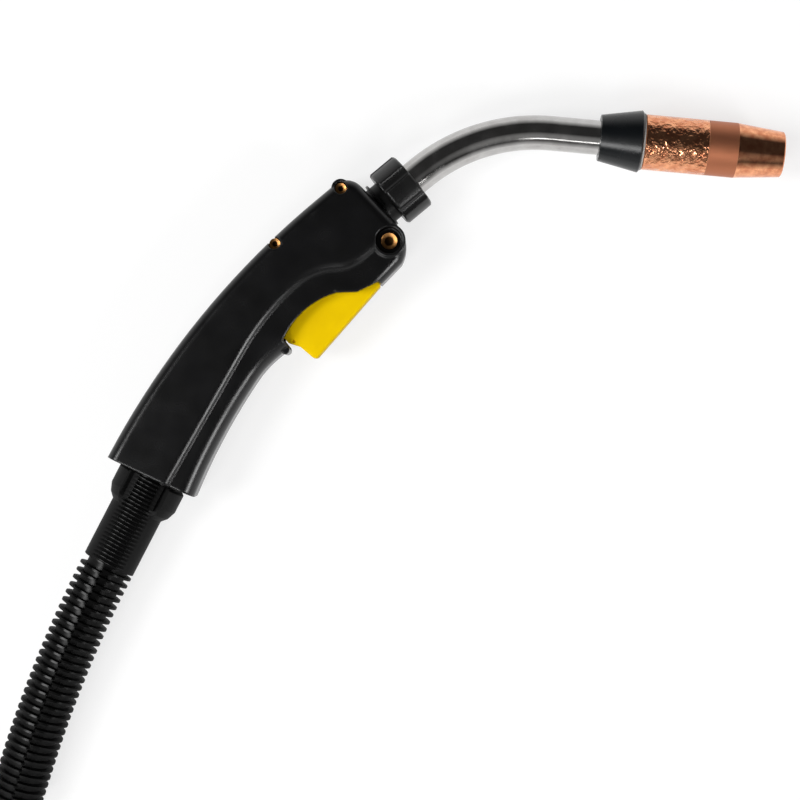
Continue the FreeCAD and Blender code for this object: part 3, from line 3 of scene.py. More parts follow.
import bmesh
import bpy
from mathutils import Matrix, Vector


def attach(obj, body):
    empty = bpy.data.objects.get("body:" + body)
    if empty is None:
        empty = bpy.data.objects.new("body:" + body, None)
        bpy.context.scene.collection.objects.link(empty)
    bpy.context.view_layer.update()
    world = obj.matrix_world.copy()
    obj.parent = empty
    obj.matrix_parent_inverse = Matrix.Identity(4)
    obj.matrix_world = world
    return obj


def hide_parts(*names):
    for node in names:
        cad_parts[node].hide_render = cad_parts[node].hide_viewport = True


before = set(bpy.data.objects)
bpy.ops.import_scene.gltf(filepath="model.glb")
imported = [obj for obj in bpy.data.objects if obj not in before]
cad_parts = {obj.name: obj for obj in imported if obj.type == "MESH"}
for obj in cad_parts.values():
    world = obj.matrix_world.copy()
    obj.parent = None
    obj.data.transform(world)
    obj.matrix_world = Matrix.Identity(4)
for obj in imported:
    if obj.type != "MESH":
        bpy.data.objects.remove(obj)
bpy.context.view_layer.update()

# Looks of a MIG welding torch that lies on its side on a bench, seen from straight above.
# Lengths are metres and angles degrees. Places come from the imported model's own frame: the handle
# frame has its origin at the handle's front face, the nozzle frame at the end of the neck's bend.

MM = 0.001
HANDLE_ORIGIN = Vector((-14.472, 118.234, 18.0)) * MM
NECK_ANGLE = 45.0

# Path of the strain relief: straight, then a bend that turns and dips, then straight again
SLEEVE_ORIGIN = Vector((-106.042, -14.349, 18.0)) * MM
SLEEVE_HEADING = 248.0
SLEEVE_STRAIGHT = 45 * MM
SLEEVE_BEND_END = 141 * MM
SLEEVE_END = 166 * MM
SLEEVE_TURN = 9.2
SLEEVE_DIP = 4.0

# Outline of the strain relief along its path, in millimetres: collar, ringed barrel and fins
COLLAR = [(-8.0, 13.0), (-4.0, 13.0), (-4.0, 11.4), (1.0, 11.4), (1.0, 15.4)]
COLLAR += [(1.8, 16.2), (10.5, 16.2), (14.4, 14.7), (17.0, 12.3)]
WINDOW_START = 1.0
WINDOW_HALF = 7.5
BARREL_RADIUS = 12.3
BARREL_END = 45.0
RIB_PITCH = 1.9
RIB_DEPTH = 0.55
RIB_STEPS = 6
FIN_START = 46.6
FIN_PITCH = 3.75
FIN_COUNT = 31
FIN_TIP = 12.35
FIN_ROOT = 9.6
FIN_WIDTH = 0.9
FIN_SLOPE = 0.35
RELIEF_BORE = 8.2
RELIEF_SIDES = 72

# How far before and after a step of that outline its skin has a ring of points, in millimetres
STEP = 0.02

# Edges steeper than this stay sharp, and points nearer than this are welded
SHARP_ANGLE = 28.0
WELD_DISTANCE = 0.001 * MM

# Nozzle frame at the end of the neck's bend, and the matte band of the nozzle in it
NOZZLE_ORIGIN = Vector((61.471, 159.798, 18.0)) * MM
BAND_REAR = 71.4 * MM
BAND_FRONT = 84.8 * MM
EDGE = 0.15 * MM

# Camera: the point it looks at, the width of the frame there, and its roll
CAMERA_CENTRE = Vector((3.43, 31.23, 18.0)) * MM
FRAME_WIDTH = 368 * MM
CAMERA_ROLL = 5.3
CLIP_NEAR = 0.05
CLIP_FAR = 20.0

# Sensor's width and the lens's focal length, in millimetres
SENSOR = 36.0
LENS = 100.0


def heading(degrees, dip=0.0):
    """Unit vector at an angle from +X, with a dip below level."""
    level = math.cos(math.radians(dip))
    turn = math.radians(degrees)
    return Vector((level * math.cos(turn), level * math.sin(turn), -math.sin(math.radians(dip))))


def handle_point(x, y):
    """Point of the handle frame at the axis's height, given in millimetres."""
    forward = heading(NECK_ANGLE)
    sideways = heading(NECK_ANGLE + 90)
    return HANDLE_ORIGIN + (forward * x + sideways * y) * MM


# Light tent: radiances, and angles from the vertical in degrees
WALL_RADIANCE = 0.88
WALL_TOP = 56.0
SOFT_BOX_RADIANCE = 0.28
SOFT_BOX_TILT = 32.0
SOFT_BOX_REACH = 30.0
SOFT_BOX_EDGE = 22.0
DARK_RADIANCE = 0.04

# Floor: half its side, its colour and its glow near the torch, which rises to 1 between two distances
FLOOR_HALF = 30.0
FLOOR_GREY = 0.32
FLOOR_GLOW = 0.71
GLOW_RISE_START = 0.6
GLOW_RISE_END = 2.5


# Camera and stage


def make_camera():
    data = bpy.data.cameras.new("camera")
    data.sensor_width = SENSOR
    data.lens = LENS
    data.clip_start = CLIP_NEAR
    data.clip_end = CLIP_FAR
    camera = bpy.data.objects.new("camera", data)
    bpy.context.scene.collection.objects.link(camera)
    distance = FRAME_WIDTH * LENS / SENSOR
    camera.location = CAMERA_CENTRE + Vector((0, 0, distance))
    camera.rotation_euler = (0, 0, math.radians(CAMERA_ROLL))
    bpy.context.scene.camera = camera
    bpy.context.scene.view_settings.view_transform = "Standard"


def area_light(name, azimuth, tilt, distance, side, radiance):
    """Square lamp that faces the torch. Azimuth runs from +X and tilt from the vertical, in degrees."""
    data = bpy.data.lights.new(name, "AREA")
    data.shape = "SQUARE"
    data.size = side
    data.energy = radiance * math.pi * side * side
    lamp = bpy.data.objects.new(name, data)
    bpy.context.scene.collection.objects.link(lamp)
    way = heading(azimuth, tilt - 90)
    lamp.location = CAMERA_CENTRE + way * distance
    lamp.rotation_euler = way.to_track_quat("Z", "Y").to_euler()
    lamp.visible_camera = False


def make_lights():
    """Three lamps that neck and nozzle don't mirror, a small one for the copper, and a light tent."""
    area_light("left_lamp", azimuth=190, tilt=40, distance=2.0, side=0.8, radiance=12.5)
    area_light("low_lamp", azimuth=240, tilt=38, distance=2.0, side=0.6, radiance=10.5)
    area_light("right_lamp", azimuth=-24, tilt=56, distance=1.8, side=0.5, radiance=15.0)
    area_light("front_lamp", azimuth=-80, tilt=45, distance=5.0, side=0.5, radiance=4.0)
    make_sky()


def make_sky():
    """Light tent: white walls that fade upwards and a tilted soft box. The camera sees plain white."""
    world = bpy.data.worlds.new("sky")
    world.use_nodes = True
    tree = world.node_tree
    background = tree.nodes["Background"]
    background.inputs["Color"].default_value = (1.0, 1.0, 1.0, 1.0)
    coordinates = tree.nodes.new("ShaderNodeTexCoord")
    direction = coordinates.outputs["Generated"]
    split = tree.nodes.new("ShaderNodeSeparateXYZ")
    tree.links.new(direction, split.inputs["Vector"])
    walls = spread(tree, split.outputs["Z"], WALL_RADIANCE, 0.0, 0.0, math.cos(math.radians(WALL_TOP)))
    towards = tree.nodes.new("ShaderNodeVectorMath")
    towards.operation = "DOT_PRODUCT"
    tree.links.new(direction, towards.inputs[0])
    towards.inputs[1].default_value = heading(-90, -90 + SOFT_BOX_TILT)
    edge = math.cos(math.radians(SOFT_BOX_REACH))
    core = math.cos(math.radians(SOFT_BOX_REACH - SOFT_BOX_EDGE))
    box = spread(tree, towards.outputs["Value"], 0.0, SOFT_BOX_RADIANCE, edge, core)
    total = maths(tree, "ADD", maths(tree, "ADD", walls, box), DARK_RADIANCE)
    rays = tree.nodes.new("ShaderNodeLightPath")
    strength = maths(tree, "MAXIMUM", total, rays.outputs["Is Camera Ray"])
    tree.links.new(strength, background.inputs["Strength"])
    bpy.context.scene.world = world


def make_floor():
    """Pale floor that reads white to the camera where no shadow falls."""
    mesh = bpy.data.meshes.new("floor")
    corners = [(-FLOOR_HALF, -FLOOR_HALF, 0), (FLOOR_HALF, -FLOOR_HALF, 0)]
    corners += [(FLOOR_HALF, FLOOR_HALF, 0), (-FLOOR_HALF, FLOOR_HALF, 0)]
    mesh.from_pydata(corners, [], [(0, 1, 2, 3)])
    floor = bpy.data.objects.new("floor", mesh)
    bpy.context.scene.collection.objects.link(floor)
    material, tree, shader = new_material("floor_white")
    shader.inputs["Base Color"].default_value = (*grey(FLOOR_GREY), 1.0)
    shader.inputs["Roughness"].default_value = 0.9
    shader.inputs["Specular IOR Level"].default_value = 0.0
    rays = tree.nodes.new("ShaderNodeLightPath")
    seen = maths(tree, "MAXIMUM", rays.outputs["Is Camera Ray"], rays.outputs["Is Glossy Ray"])
    away = length_of(tree, object_point(tree, CAMERA_CENTRE))
    glow = spread(tree, away, FLOOR_GLOW, 1.0, GLOW_RISE_START, GLOW_RISE_END)
    tree.links.new(maths(tree, "MULTIPLY", seen, glow), shader.inputs["Emission Strength"])
    shader.inputs["Emission Color"].default_value = (1.0, 1.0, 1.0, 1.0)
    mesh.materials.append(material)


# Materials: helpers

# Sizes of patches, grains, scratches and dents, and how deep the fine ones are
MOTTLE_SIZE = 14 * MM
GLOSS_SIZE = 12 * MM
MOULD_GRAIN = 0.35 * MM
GRAIN_DEPTH = 0.1 * MM
DUST_SIZE = 6 * MM
WEAR_SIZE = 2 * MM
RUBBER_GRAIN = 0.6 * MM
RUBBER_BUMP = 0.12
METAL_STAIN = 7 * MM
SCRATCH_SIZE = 0.4 * MM
SCRATCH_DEPTH = 0.05 * MM
SCREW_STAIN = 1.2 * MM
COPPER_STAIN = 3.5 * MM
DENT_SIZE = 2.6 * MM
DENT_DEPTH = 0.85 * MM
TURNING_SIZE = 0.3 * MM
TURNING_STRETCH = 0.04
TURNING_DEPTH = 0.03 * MM

# Sleeve's gloss: half width of the smooth rings, length of the change to the fins, and the heights
# over the sleeve's axis between which the tops turn smooth
SMOOTH_RINGS_HALF = 4.0 * MM
FINS_RISE_LENGTH = 1 * MM
TOP_START = 8.0 * MM
TOP_END = 9.5 * MM

# Samples of the rounding that the mouldings' edges get in their shading
ROUNDING_SAMPLES = 8


def grey(value):
    return (value, value, value)


def new_material(name):
    material = bpy.data.materials.new(name)
    material.use_nodes = True
    tree = material.node_tree
    return material, tree, tree.nodes["Principled BSDF"]


def object_point(tree, place=None, turn=0.0, stretch=(1.0, 1.0, 1.0)):
    """Point on the object, moved to a frame's origin, turned about Z and stretched."""
    coordinates = tree.nodes.new("ShaderNodeTexCoord")
    point = coordinates.outputs["Object"]
    if place is not None:
        shift = tree.nodes.new("ShaderNodeVectorMath")
        shift.operation = "SUBTRACT"
        tree.links.new(point, shift.inputs[0])
        shift.inputs[1].default_value = place
        point = shift.outputs["Vector"]
    if turn:
        rotate = tree.nodes.new("ShaderNodeVectorRotate")
        rotate.rotation_type = "Z_AXIS"
        tree.links.new(point, rotate.inputs["Vector"])
        rotate.inputs["Angle"].default_value = math.radians(-turn)
        point = rotate.outputs["Vector"]
    if stretch != (1.0, 1.0, 1.0):
        scale = tree.nodes.new("ShaderNodeVectorMath")
        scale.operation = "MULTIPLY"
        tree.links.new(point, scale.inputs[0])
        scale.inputs[1].default_value = stretch
        point = scale.outputs["Vector"]
    return point


def noise(tree, point, size, detail=4.0, roughness=0.55):
    """Value from 0 to 1 that varies over about a size in metres."""
    node = tree.nodes.new("ShaderNodeTexNoise")
    node.inputs["Scale"].default_value = 1.0 / size
    node.inputs["Detail"].default_value = detail
    node.inputs["Roughness"].default_value = roughness
    tree.links.new(point, node.inputs["Vector"])
    return node.outputs["Fac"]


def spread(tree, value, low, high, start=0.0, end=1.0):
    """Value mapped from start..end to low..high and kept inside."""
    node = tree.nodes.new("ShaderNodeMapRange")
    node.inputs["From Min"].default_value = start
    node.inputs["From Max"].default_value = end
    node.inputs["To Min"].default_value = low
    node.inputs["To Max"].default_value = high
    tree.links.new(value, node.inputs["Value"])
    return node.outputs["Result"]


def length_of(tree, vector):
    node = tree.nodes.new("ShaderNodeVectorMath")
    node.operation = "LENGTH"
    tree.links.new(vector, node.inputs[0])
    return node.outputs["Value"]


def maths(tree, operation, first, second):
    """One step of arithmetic on sockets or numbers."""
    node = tree.nodes.new("ShaderNodeMath")
    node.operation = operation
    for value, socket in ((first, node.inputs[0]), (second, node.inputs[1])):
        if isinstance(value, (int, float)):
            socket.default_value = value
        else:
            tree.links.new(value, socket)
    return node.outputs["Value"]


def mix_colour(tree, factor, first, second):
    node = tree.nodes.new("ShaderNodeMix")
    node.data_type = "RGBA"
    tree.links.new(factor, node.inputs["Factor"])
    for value, socket in ((first, node.inputs["A"]), (second, node.inputs["B"])):
        if isinstance(value, tuple):
            socket.default_value = (*value, 1.0)
        else:
            tree.links.new(value, socket)
    return node.outputs["Result"]


def bump(tree, shader, height, strength, distance, rounding=0.0):
    node = tree.nodes.new("ShaderNodeBump")
    node.inputs["Strength"].default_value = strength
    node.inputs["Distance"].default_value = distance
    tree.links.new(height, node.inputs["Height"])
    if rounding:
        edge = tree.nodes.new("ShaderNodeBevel")
        edge.samples = ROUNDING_SAMPLES
        edge.inputs["Radius"].default_value = rounding
        tree.links.new(edge.outputs["Normal"], node.inputs["Normal"])
    tree.links.new(node.outputs["Normal"], shader.inputs["Normal"])


def vary(tree, shader, socket, value, low, high, start=0.3, end=0.7):
    tree.links.new(spread(tree, value, low, high, start, end), shader.inputs[socket])


def plastic(name, colour, deep, roughness, grain, rounding=0.3 * MM, specular=0.5):
    """Moulded plastic: faint mottling, uneven gloss and a fine moulded grain."""
    material, tree, shader = new_material(name)
    point = object_point(tree)
    mottle = spread(tree, noise(tree, point, MOTTLE_SIZE, 5.0), 0.0, 1.0, 0.2, 0.8)
    tree.links.new(mix_colour(tree, mottle, deep, colour), shader.inputs["Base Color"])
    gloss = noise(tree, point, GLOSS_SIZE, 1.0)
    vary(tree, shader, "Roughness", gloss, roughness - 0.02, roughness + 0.03)
    shader.inputs["Specular IOR Level"].default_value = specular
    bump(tree, shader, noise(tree, point, MOULD_GRAIN, 2.0), grain, GRAIN_DEPTH, rounding)
    return material


def rubber(name, colour, roughness, specular):
    """Rubber with a little dust on it."""
    material, tree, shader = new_material(name)
    point = object_point(tree)
    dust = spread(tree, noise(tree, point, DUST_SIZE), 0.0, 0.5, 0.4, 0.8)
    pale = tuple(1.8 * part + 0.002 for part in colour)
    tree.links.new(mix_colour(tree, dust, colour, pale), shader.inputs["Base Color"])
    vary(tree, shader, "Roughness", noise(tree, point, WEAR_SIZE), roughness - 0.08, roughness + 0.08)
    shader.inputs["Specular IOR Level"].default_value = specular
    bump(tree, shader, noise(tree, point, RUBBER_GRAIN, 3.0), RUBBER_BUMP, GRAIN_DEPTH)
    return material


def sleeve_rubber(name):
    """Matt black rubber, smoother on the tops of the barrel's rings and of the fins."""
    material, tree, shader = new_material(name)
    point = object_point(tree, SLEEVE_ORIGIN, SLEEVE_HEADING)
    split = tree.nodes.new("ShaderNodeSeparateXYZ")
    tree.links.new(point, split.inputs["Vector"])
    across = maths(tree, "ABSOLUTE", split.outputs["Y"], 0.0)
    height = maths(tree, "ABSOLUTE", split.outputs["Z"], 0.0)
    on_rings = spread(tree, across, 1.0, 0.0, SMOOTH_RINGS_HALF, WINDOW_HALF * MM)
    fins_start = BARREL_END * MM
    on_fins = spread(tree, split.outputs["X"], 0.0, 1.0, fins_start, fins_start + FINS_RISE_LENGTH)
    on_top = spread(tree, height, 0.0, 1.0, TOP_START, TOP_END)
    smooth = maths(tree, "MULTIPLY", on_top, maths(tree, "MAXIMUM", on_rings, on_fins))
    wear = spread(tree, noise(tree, point, WEAR_SIZE), 0.0, 0.1)
    roughness = maths(tree, "ADD", spread(tree, smooth, 0.55, 0.15), wear)
    tree.links.new(roughness, shader.inputs["Roughness"])
    shader.inputs["Specular IOR Level"].default_value = 0.15
    dusty = mix_colour(tree, noise(tree, point, DUST_SIZE), grey(0.001), grey(0.003))
    tree.links.new(dusty, shader.inputs["Base Color"])
    bump(tree, shader, noise(tree, point, RUBBER_GRAIN, 3.0), RUBBER_BUMP, GRAIN_DEPTH)
    return material


def metal(name, colour, dark, roughness, scratch=0.15, uneven=0.1):
    """Bare metal with faint stains and fine scratches."""
    material, tree, shader = new_material(name)
    shader.inputs["Metallic"].default_value = 1.0
    point = object_point(tree)
    stain = spread(tree, noise(tree, point, METAL_STAIN, 5.0), 0.0, 1.0, 0.35, 0.7)
    tree.links.new(mix_colour(tree, stain, dark, colour), shader.inputs["Base Color"])
    vary(tree, shader, "Roughness", stain, roughness, roughness + uneven)
    bump(tree, shader, noise(tree, point, SCRATCH_SIZE, 3.0), scratch, SCRATCH_DEPTH)
    return material


def screw_brass(name, centre, head, socket):
    """Worn brass cap screw with a dished head, its socket coloured near black as painted shade."""
    material, tree, shader = new_material(name)
    shader.inputs["Metallic"].default_value = 1.0
    away = length_of(tree, object_point(tree, centre, stretch=(1.0, 1.0, 0.0)))
    stain = noise(tree, object_point(tree), SCREW_STAIN, 3.0)
    brass_colour = mix_colour(tree, stain, (0.24, 0.10, 0.03), (0.50, 0.26, 0.09))
    # Painted shade: inside the socket's radius the brass turns near black, for the shade in the socket's
    # recess.
    inside = spread(tree, away, 1.0, 0.0, socket * 0.8, socket * 1.1)
    colour = mix_colour(tree, inside, brass_colour, (0.03, 0.015, 0.005))
    tree.links.new(colour, shader.inputs["Base Color"])
    vary(tree, shader, "Roughness", stain, 0.28, 0.45)
    rise = maths(tree, "MULTIPLY", maths(tree, "MULTIPLY", away, away), SCREW_DISH / head)
    bump(tree, shader, rise, 1.0, 1.0)
    return material


def nozzle_copper(name):
    """Polished copper with a faintly dented barrel, a fine turned matte band and a smooth cone."""
    material, tree, shader = new_material(name)
    shader.inputs["Metallic"].default_value = 1.0
    point = object_point(tree, NOZZLE_ORIGIN)
    split = tree.nodes.new("ShaderNodeSeparateXYZ")
    tree.links.new(point, split.inputs["Vector"])
    station = split.outputs["X"]
    on_barrel = spread(tree, station, 1.0, 0.0, BAND_REAR - EDGE, BAND_REAR)
    past_rear = spread(tree, station, 0.0, 1.0, BAND_REAR - EDGE, BAND_REAR)
    before_front = spread(tree, station, 1.0, 0.0, BAND_FRONT, BAND_FRONT + EDGE)
    on_band = maths(tree, "MULTIPLY", past_rear, before_front)
    stain = spread(tree, noise(tree, point, COPPER_STAIN, 5.0), 0.0, 1.0, 0.35, 0.65)
    polished = mix_colour(tree, stain, (0.66, 0.24, 0.12), (0.92, 0.43, 0.23))
    colour = mix_colour(tree, on_band, polished, (0.50, 0.19, 0.10))
    tree.links.new(colour, shader.inputs["Base Color"])
    tree.links.new(spread(tree, on_band, 0.13, 0.5), shader.inputs["Roughness"])
    dents = noise(tree, point, DENT_SIZE, 2.0)
    drawn_out = object_point(tree, NOZZLE_ORIGIN, stretch=(1.0, TURNING_STRETCH, TURNING_STRETCH))
    rings = noise(tree, drawn_out, TURNING_SIZE, 2.0)
    depth = maths(tree, "MULTIPLY", maths(tree, "MULTIPLY", dents, on_barrel), DENT_DEPTH)
    turning = maths(tree, "MULTIPLY", maths(tree, "MULTIPLY", rings, on_band), TURNING_DEPTH)
    bump(tree, shader, maths(tree, "ADD", depth, turning), 1.0, 1.0)
    return material


def dress(material, *names):
    for name in names:
        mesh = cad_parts[name].data
        mesh.materials.clear()
        mesh.materials.append(material)


# Materials: what each piece wears

SCREW_DISH = 0.2
SMALL_SCREWS = {
    "handle_screw_front": handle_point(-8.2, 16.9),
    "handle_screw_back": handle_point(-47.3, 16.9),
}
SMALL_HEAD = 2.5 * MM
SMALL_SOCKET = 1.3 * MM
NOSE_SCREW = handle_point(-6.5, -15.4)
NOSE_HEAD = 3.7 * MM
NOSE_SOCKET = 2.3 * MM


def dress_handle():
    """Glossy black mouldings whose soft edges catch the light."""
    black = plastic(
        "moulded_black",
        colour=(0.004, 0.004, 0.0045),
        deep=grey(0.002),
        roughness=0.25,
        grain=0.05,
        rounding=1.5 * MM,
        specular=0.4,
    )
    dress(black, "handle_left", "handle_right")


def dress_knob():
    black = plastic(
        "knob_black",
        colour=grey(0.009),
        deep=grey(0.004),
        roughness=0.27,
        grain=0.1,
        rounding=1.0 * MM,
        specular=0.45,
    )
    dress(black, "lock_knob")


def dress_collar():
    """Duller black than the knob's."""
    black = plastic(
        "collar_moulding",
        colour=grey(0.003),
        deep=grey(0.002),
        roughness=0.4,
        grain=0.1,
        rounding=0.2 * MM,
        specular=0.15,
    )
    dress(black, "neck_collar")


def dress_boot():
    """Black with a cool tinge, and the pale ring in front of it."""
    black = plastic(
        "boot_moulding",
        colour=(0.004, 0.005, 0.006),
        deep=(0.002, 0.003, 0.004),
        roughness=0.26,
        grain=0.15,
        rounding=0.3 * MM,
        specular=0.4,
    )
    pale = plastic(
        "ring_moulding",
        colour=(0.50, 0.48, 0.45),
        deep=(0.36, 0.34, 0.32),
        roughness=0.5,
        grain=0.1,
        rounding=0.1 * MM,
    )
    dress(black, "nozzle_boot")
    dress(pale, "boot_ring")


def dress_trigger():
    yellow = plastic(
        "trigger_moulding",
        colour=(0.86, 0.58, 0.0),
        deep=(0.77, 0.50, 0.0),
        roughness=0.45,
        grain=0.1,
        specular=0.05,
    )
    dress(yellow, "trigger")


def dress_inner_plastics():
    """Switch and plunger in dark grey, insulators in cream."""
    dark = plastic("switch_moulding", (0.05, 0.05, 0.055), grey(0.03), roughness=0.5, grain=0.1)
    cream = plastic("insulator_moulding", (0.70, 0.64, 0.52), (0.60, 0.54, 0.44), roughness=0.55, grain=0.1)
    dress(dark, "switch_body", "switch_plunger")
    dress(cream, "neck_insulation", "nozzle_insulator", "connector_face")


def dress_connector():
    black = plastic("connector_moulding", grey(0.018), grey(0.008), roughness=0.4, grain=0.2)
    dress(black, "connector_housing", "coupling_nut")


def dress_rubbers():
    """Seals and bend relief, and the two rubbers that the swept pieces wear as well."""
    seal = rubber("seal_rubber", grey(0.006), roughness=0.4, specular=0.3)
    sleeve = sleeve_rubber("sleeve_rubber")
    cable = rubber("cable_rubber", grey(0.008), roughness=0.42, specular=0.3)
    dress(seal, "hub_seal", "connector_relief", "nipple_seal")
    dress(sleeve, "strain_relief")
    dress(cable, "cable_inner", "cable_lead", "cable_coil")
    return sleeve, cable


def dress_copper():
    satin = metal("copper_satin", (0.85, 0.50, 0.36), (0.65, 0.35, 0.24), roughness=0.3)
    dress(nozzle_copper("copper_polished"), "nozzle")
    dress(satin, "contact_tip", "conductor_tube")


def dress_brass():
    satin = metal("brass_satin", (0.85, 0.62, 0.28), (0.60, 0.42, 0.18), roughness=0.28)
    dress(satin, "neck_hub", "cable_fitting", "gas_diffuser")
    dress(satin, "power_pin", "control_pin_low", "control_pin_high")


def dress_steel():
    """Satin steel inside, a washer coloured near black as painted shade between knob and handle, and the
    smoother tube of the neck.
    """
    satin = metal("steel_satin", grey(0.62), grey(0.45), roughness=0.3)
    # Painted shade: the washer's steel is coloured near black for the shade in the gap between knob and
    # handle.
    washer_shade_steel = metal("steel_painted_shade", grey(0.03), grey(0.01), roughness=0.25)
    tube = metal(
        "steel_tube",
        colour=(0.55, 0.54, 0.53),
        dark=(0.44, 0.43, 0.42),
        roughness=0.1,
        scratch=0.1,
        uneven=0.06,
    )
    dress(satin, "crimp_ferrule", "trigger_pin", "trigger_spring", "wire_liner")
    dress(washer_shade_steel, "collar_washer")
    dress(tube, "neck_tube")


def dress_screws():
    for node, centre in SMALL_SCREWS.items():
        dress(screw_brass(node + "_brass", centre, SMALL_HEAD, SMALL_SOCKET), node)
    nose = "nose_screw_brass"
    dress(screw_brass(nose + "_brass", NOSE_SCREW, NOSE_HEAD, NOSE_SOCKET), nose)


# Shading of the solids: smooth over curves, sharp at edges


def smooth_group():
    """Modifier nodes that weld the faces, shade them smooth and keep steep edges sharp."""
    group = bpy.data.node_groups.new("shade_by_angle", "GeometryNodeTree")
    group.interface.new_socket("Geometry", in_out="INPUT", socket_type="NodeSocketGeometry")
    group.interface.new_socket("Geometry", in_out="OUTPUT", socket_type="NodeSocketGeometry")
    nodes = group.nodes
    links = group.links
    start = nodes.new("NodeGroupInput")
    end = nodes.new("NodeGroupOutput")
    merge = nodes.new("GeometryNodeMergeByDistance")
    merge.inputs["Distance"].default_value = WELD_DISTANCE
    faces = nodes.new("GeometryNodeSetShadeSmooth")
    faces.domain = "FACE"
    edges = nodes.new("GeometryNodeSetShadeSmooth")
    edges.domain = "EDGE"
    edges.inputs["Shade Smooth"].default_value = False
    angle = nodes.new("GeometryNodeInputMeshEdgeAngle")
    sharp = nodes.new("FunctionNodeCompare")
    sharp.operation = "GREATER_THAN"
    sharp.inputs["B"].default_value = math.radians(SHARP_ANGLE)
    links.new(start.outputs[0], merge.inputs["Geometry"])
    links.new(merge.outputs["Geometry"], faces.inputs["Geometry"])
    links.new(faces.outputs["Geometry"], edges.inputs["Geometry"])
    links.new(angle.outputs["Unsigned Angle"], sharp.inputs["A"])
    links.new(sharp.outputs["Result"], edges.inputs["Selection"])
    links.new(edges.outputs["Geometry"], end.inputs[0])
    return group


def shade_solids():
    group = smooth_group()
    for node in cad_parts.values():
        node.modifiers.new("shade", "NODES").node_group = group


# Pieces of swept form


def swept(name, rings, body, replaced, material):
    """Closed skin over rings of points, one ring after another, its first joined to its last."""
    mesh = bmesh.new()
    rows = [[mesh.verts.new(point) for point in ring] for ring in rings]
    sides = len(rows[0])
    for here, after in zip(rows, rows[1:] + rows[:1]):
        for index in range(sides):
            following = (index + 1) % sides
            mesh.faces.new((here[index], here[following], after[following], after[index]))
    bmesh.ops.recalc_face_normals(mesh, faces=mesh.faces)
    for face in mesh.faces:
        face.smooth = True
    for edge in mesh.edges:
        edge.smooth = edge.calc_face_angle(0.0) < math.radians(SHARP_ANGLE)
    data = bpy.data.meshes.new(name)
    mesh.to_mesh(data)
    mesh.free()
    data.materials.append(material)
    piece = bpy.data.objects.new(name, data)
    bpy.context.scene.collection.objects.link(piece)
    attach(piece, body)
    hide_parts(replaced)
    return piece


def ring_at(place, direction, radii):
    """Ring of points round an axis, starting at its level side, one point for each radius."""
    side = Vector((0, 0, 1)).cross(direction).normalized()
    above = direction.cross(side)
    count = len(radii)
    points = []
    for index, radius in enumerate(radii):
        angle = 2 * math.pi * index / count
        points.append(place + (side * math.cos(angle) + above * math.sin(angle)) * radius)
    return points


# Strain relief


def sleeve_directions():
    first = heading(SLEEVE_HEADING)
    last = heading(SLEEVE_HEADING + SLEEVE_TURN, SLEEVE_DIP)
    return first, last


def sleeve_station(station):
    """Point and direction of the sleeve's axis at a distance from the handle's rim."""
    first, last = sleeve_directions()
    if station <= SLEEVE_STRAIGHT:
        return SLEEVE_ORIGIN + first * station, first
    radius = (SLEEVE_BEND_END - SLEEVE_STRAIGHT) / first.angle(last)
    turn = (min(station, SLEEVE_BEND_END) - SLEEVE_STRAIGHT) / radius
    inward = (last - first * first.dot(last)).normalized()
    bend = SLEEVE_ORIGIN + first * SLEEVE_STRAIGHT
    point = bend + first * (radius * math.sin(turn)) + inward * (radius * (1 - math.cos(turn)))
    direction = first * math.cos(turn) + inward * math.sin(turn)
    return point + direction * max(0.0, station - SLEEVE_BEND_END), direction


def between(outline, station):
    """Radius of an outline of straight stretches at a station."""
    for (start, first), (end, last) in zip(outline, outline[1:]):
        if start <= station <= end and end > start:
            return first + (last - first) * (station - start) / (end - start)
    return outline[-1][1]


def barrel_radius(station):
    """Fine round rings all along the barrel, with a narrow valley between each two."""
    turn = math.pi * (station - WINDOW_START) / RIB_PITCH
    return BARREL_RADIUS - RIB_DEPTH * (1 - abs(math.sin(turn)))


def fin_radius(station, shift):
    """Fins with sloping flanks. Those of one side stand half a pitch behind those of the other."""
    place = station - FIN_START - shift
    if place < 0 or place > FIN_COUNT * FIN_PITCH:
        return FIN_ROOT
    flank = [(0.0, FIN_ROOT), (FIN_SLOPE, FIN_TIP), (FIN_SLOPE + FIN_WIDTH, FIN_TIP)]
    flank.append((2 * FIN_SLOPE + FIN_WIDTH, FIN_ROOT))
    return between(flank, place % FIN_PITCH)


def sleeve_radius(station, across):
    """Radius of the sleeve's skin. Across runs from -1 on one side over 0 on top to 1 on the other."""
    if station > BARREL_END:
        return fin_radius(station, 0.0 if across > 0 else FIN_PITCH / 2)
    if station < WINDOW_START:
        return between(COLLAR, station)
    barrel = barrel_radius(station)
    shoulder = max(barrel, between(COLLAR, station))
    side = abs(across)
    if WINDOW_HALF < barrel * side:
        return shoulder
    if WINDOW_HALF > shoulder * side:
        return barrel
    return WINDOW_HALF / side


def sleeve_stations():
    """Stations at which the sleeve's skin changes its slope."""
    stations = []
    for station, _ in COLLAR:
        stations += [station - STEP, station + STEP]
    for index in range(int((BARREL_END - WINDOW_START) / RIB_PITCH)):
        start = WINDOW_START + index * RIB_PITCH
        stations += [start + RIB_PITCH * step / RIB_STEPS for step in range(RIB_STEPS)]
    stations += [BARREL_END - STEP, BARREL_END + STEP]
    corners = [0.0, FIN_SLOPE, FIN_SLOPE + FIN_WIDTH, 2 * FIN_SLOPE + FIN_WIDTH]
    for index in range(2 * FIN_COUNT + 1):
        start = FIN_START + index * FIN_PITCH / 2
        stations += [start + corner for corner in corners]
    end = SLEEVE_END / MM
    inside = sorted({round(s, 3) for s in stations if COLLAR[0][0] < s < end})
    return [COLLAR[0][0]] + inside + [end]


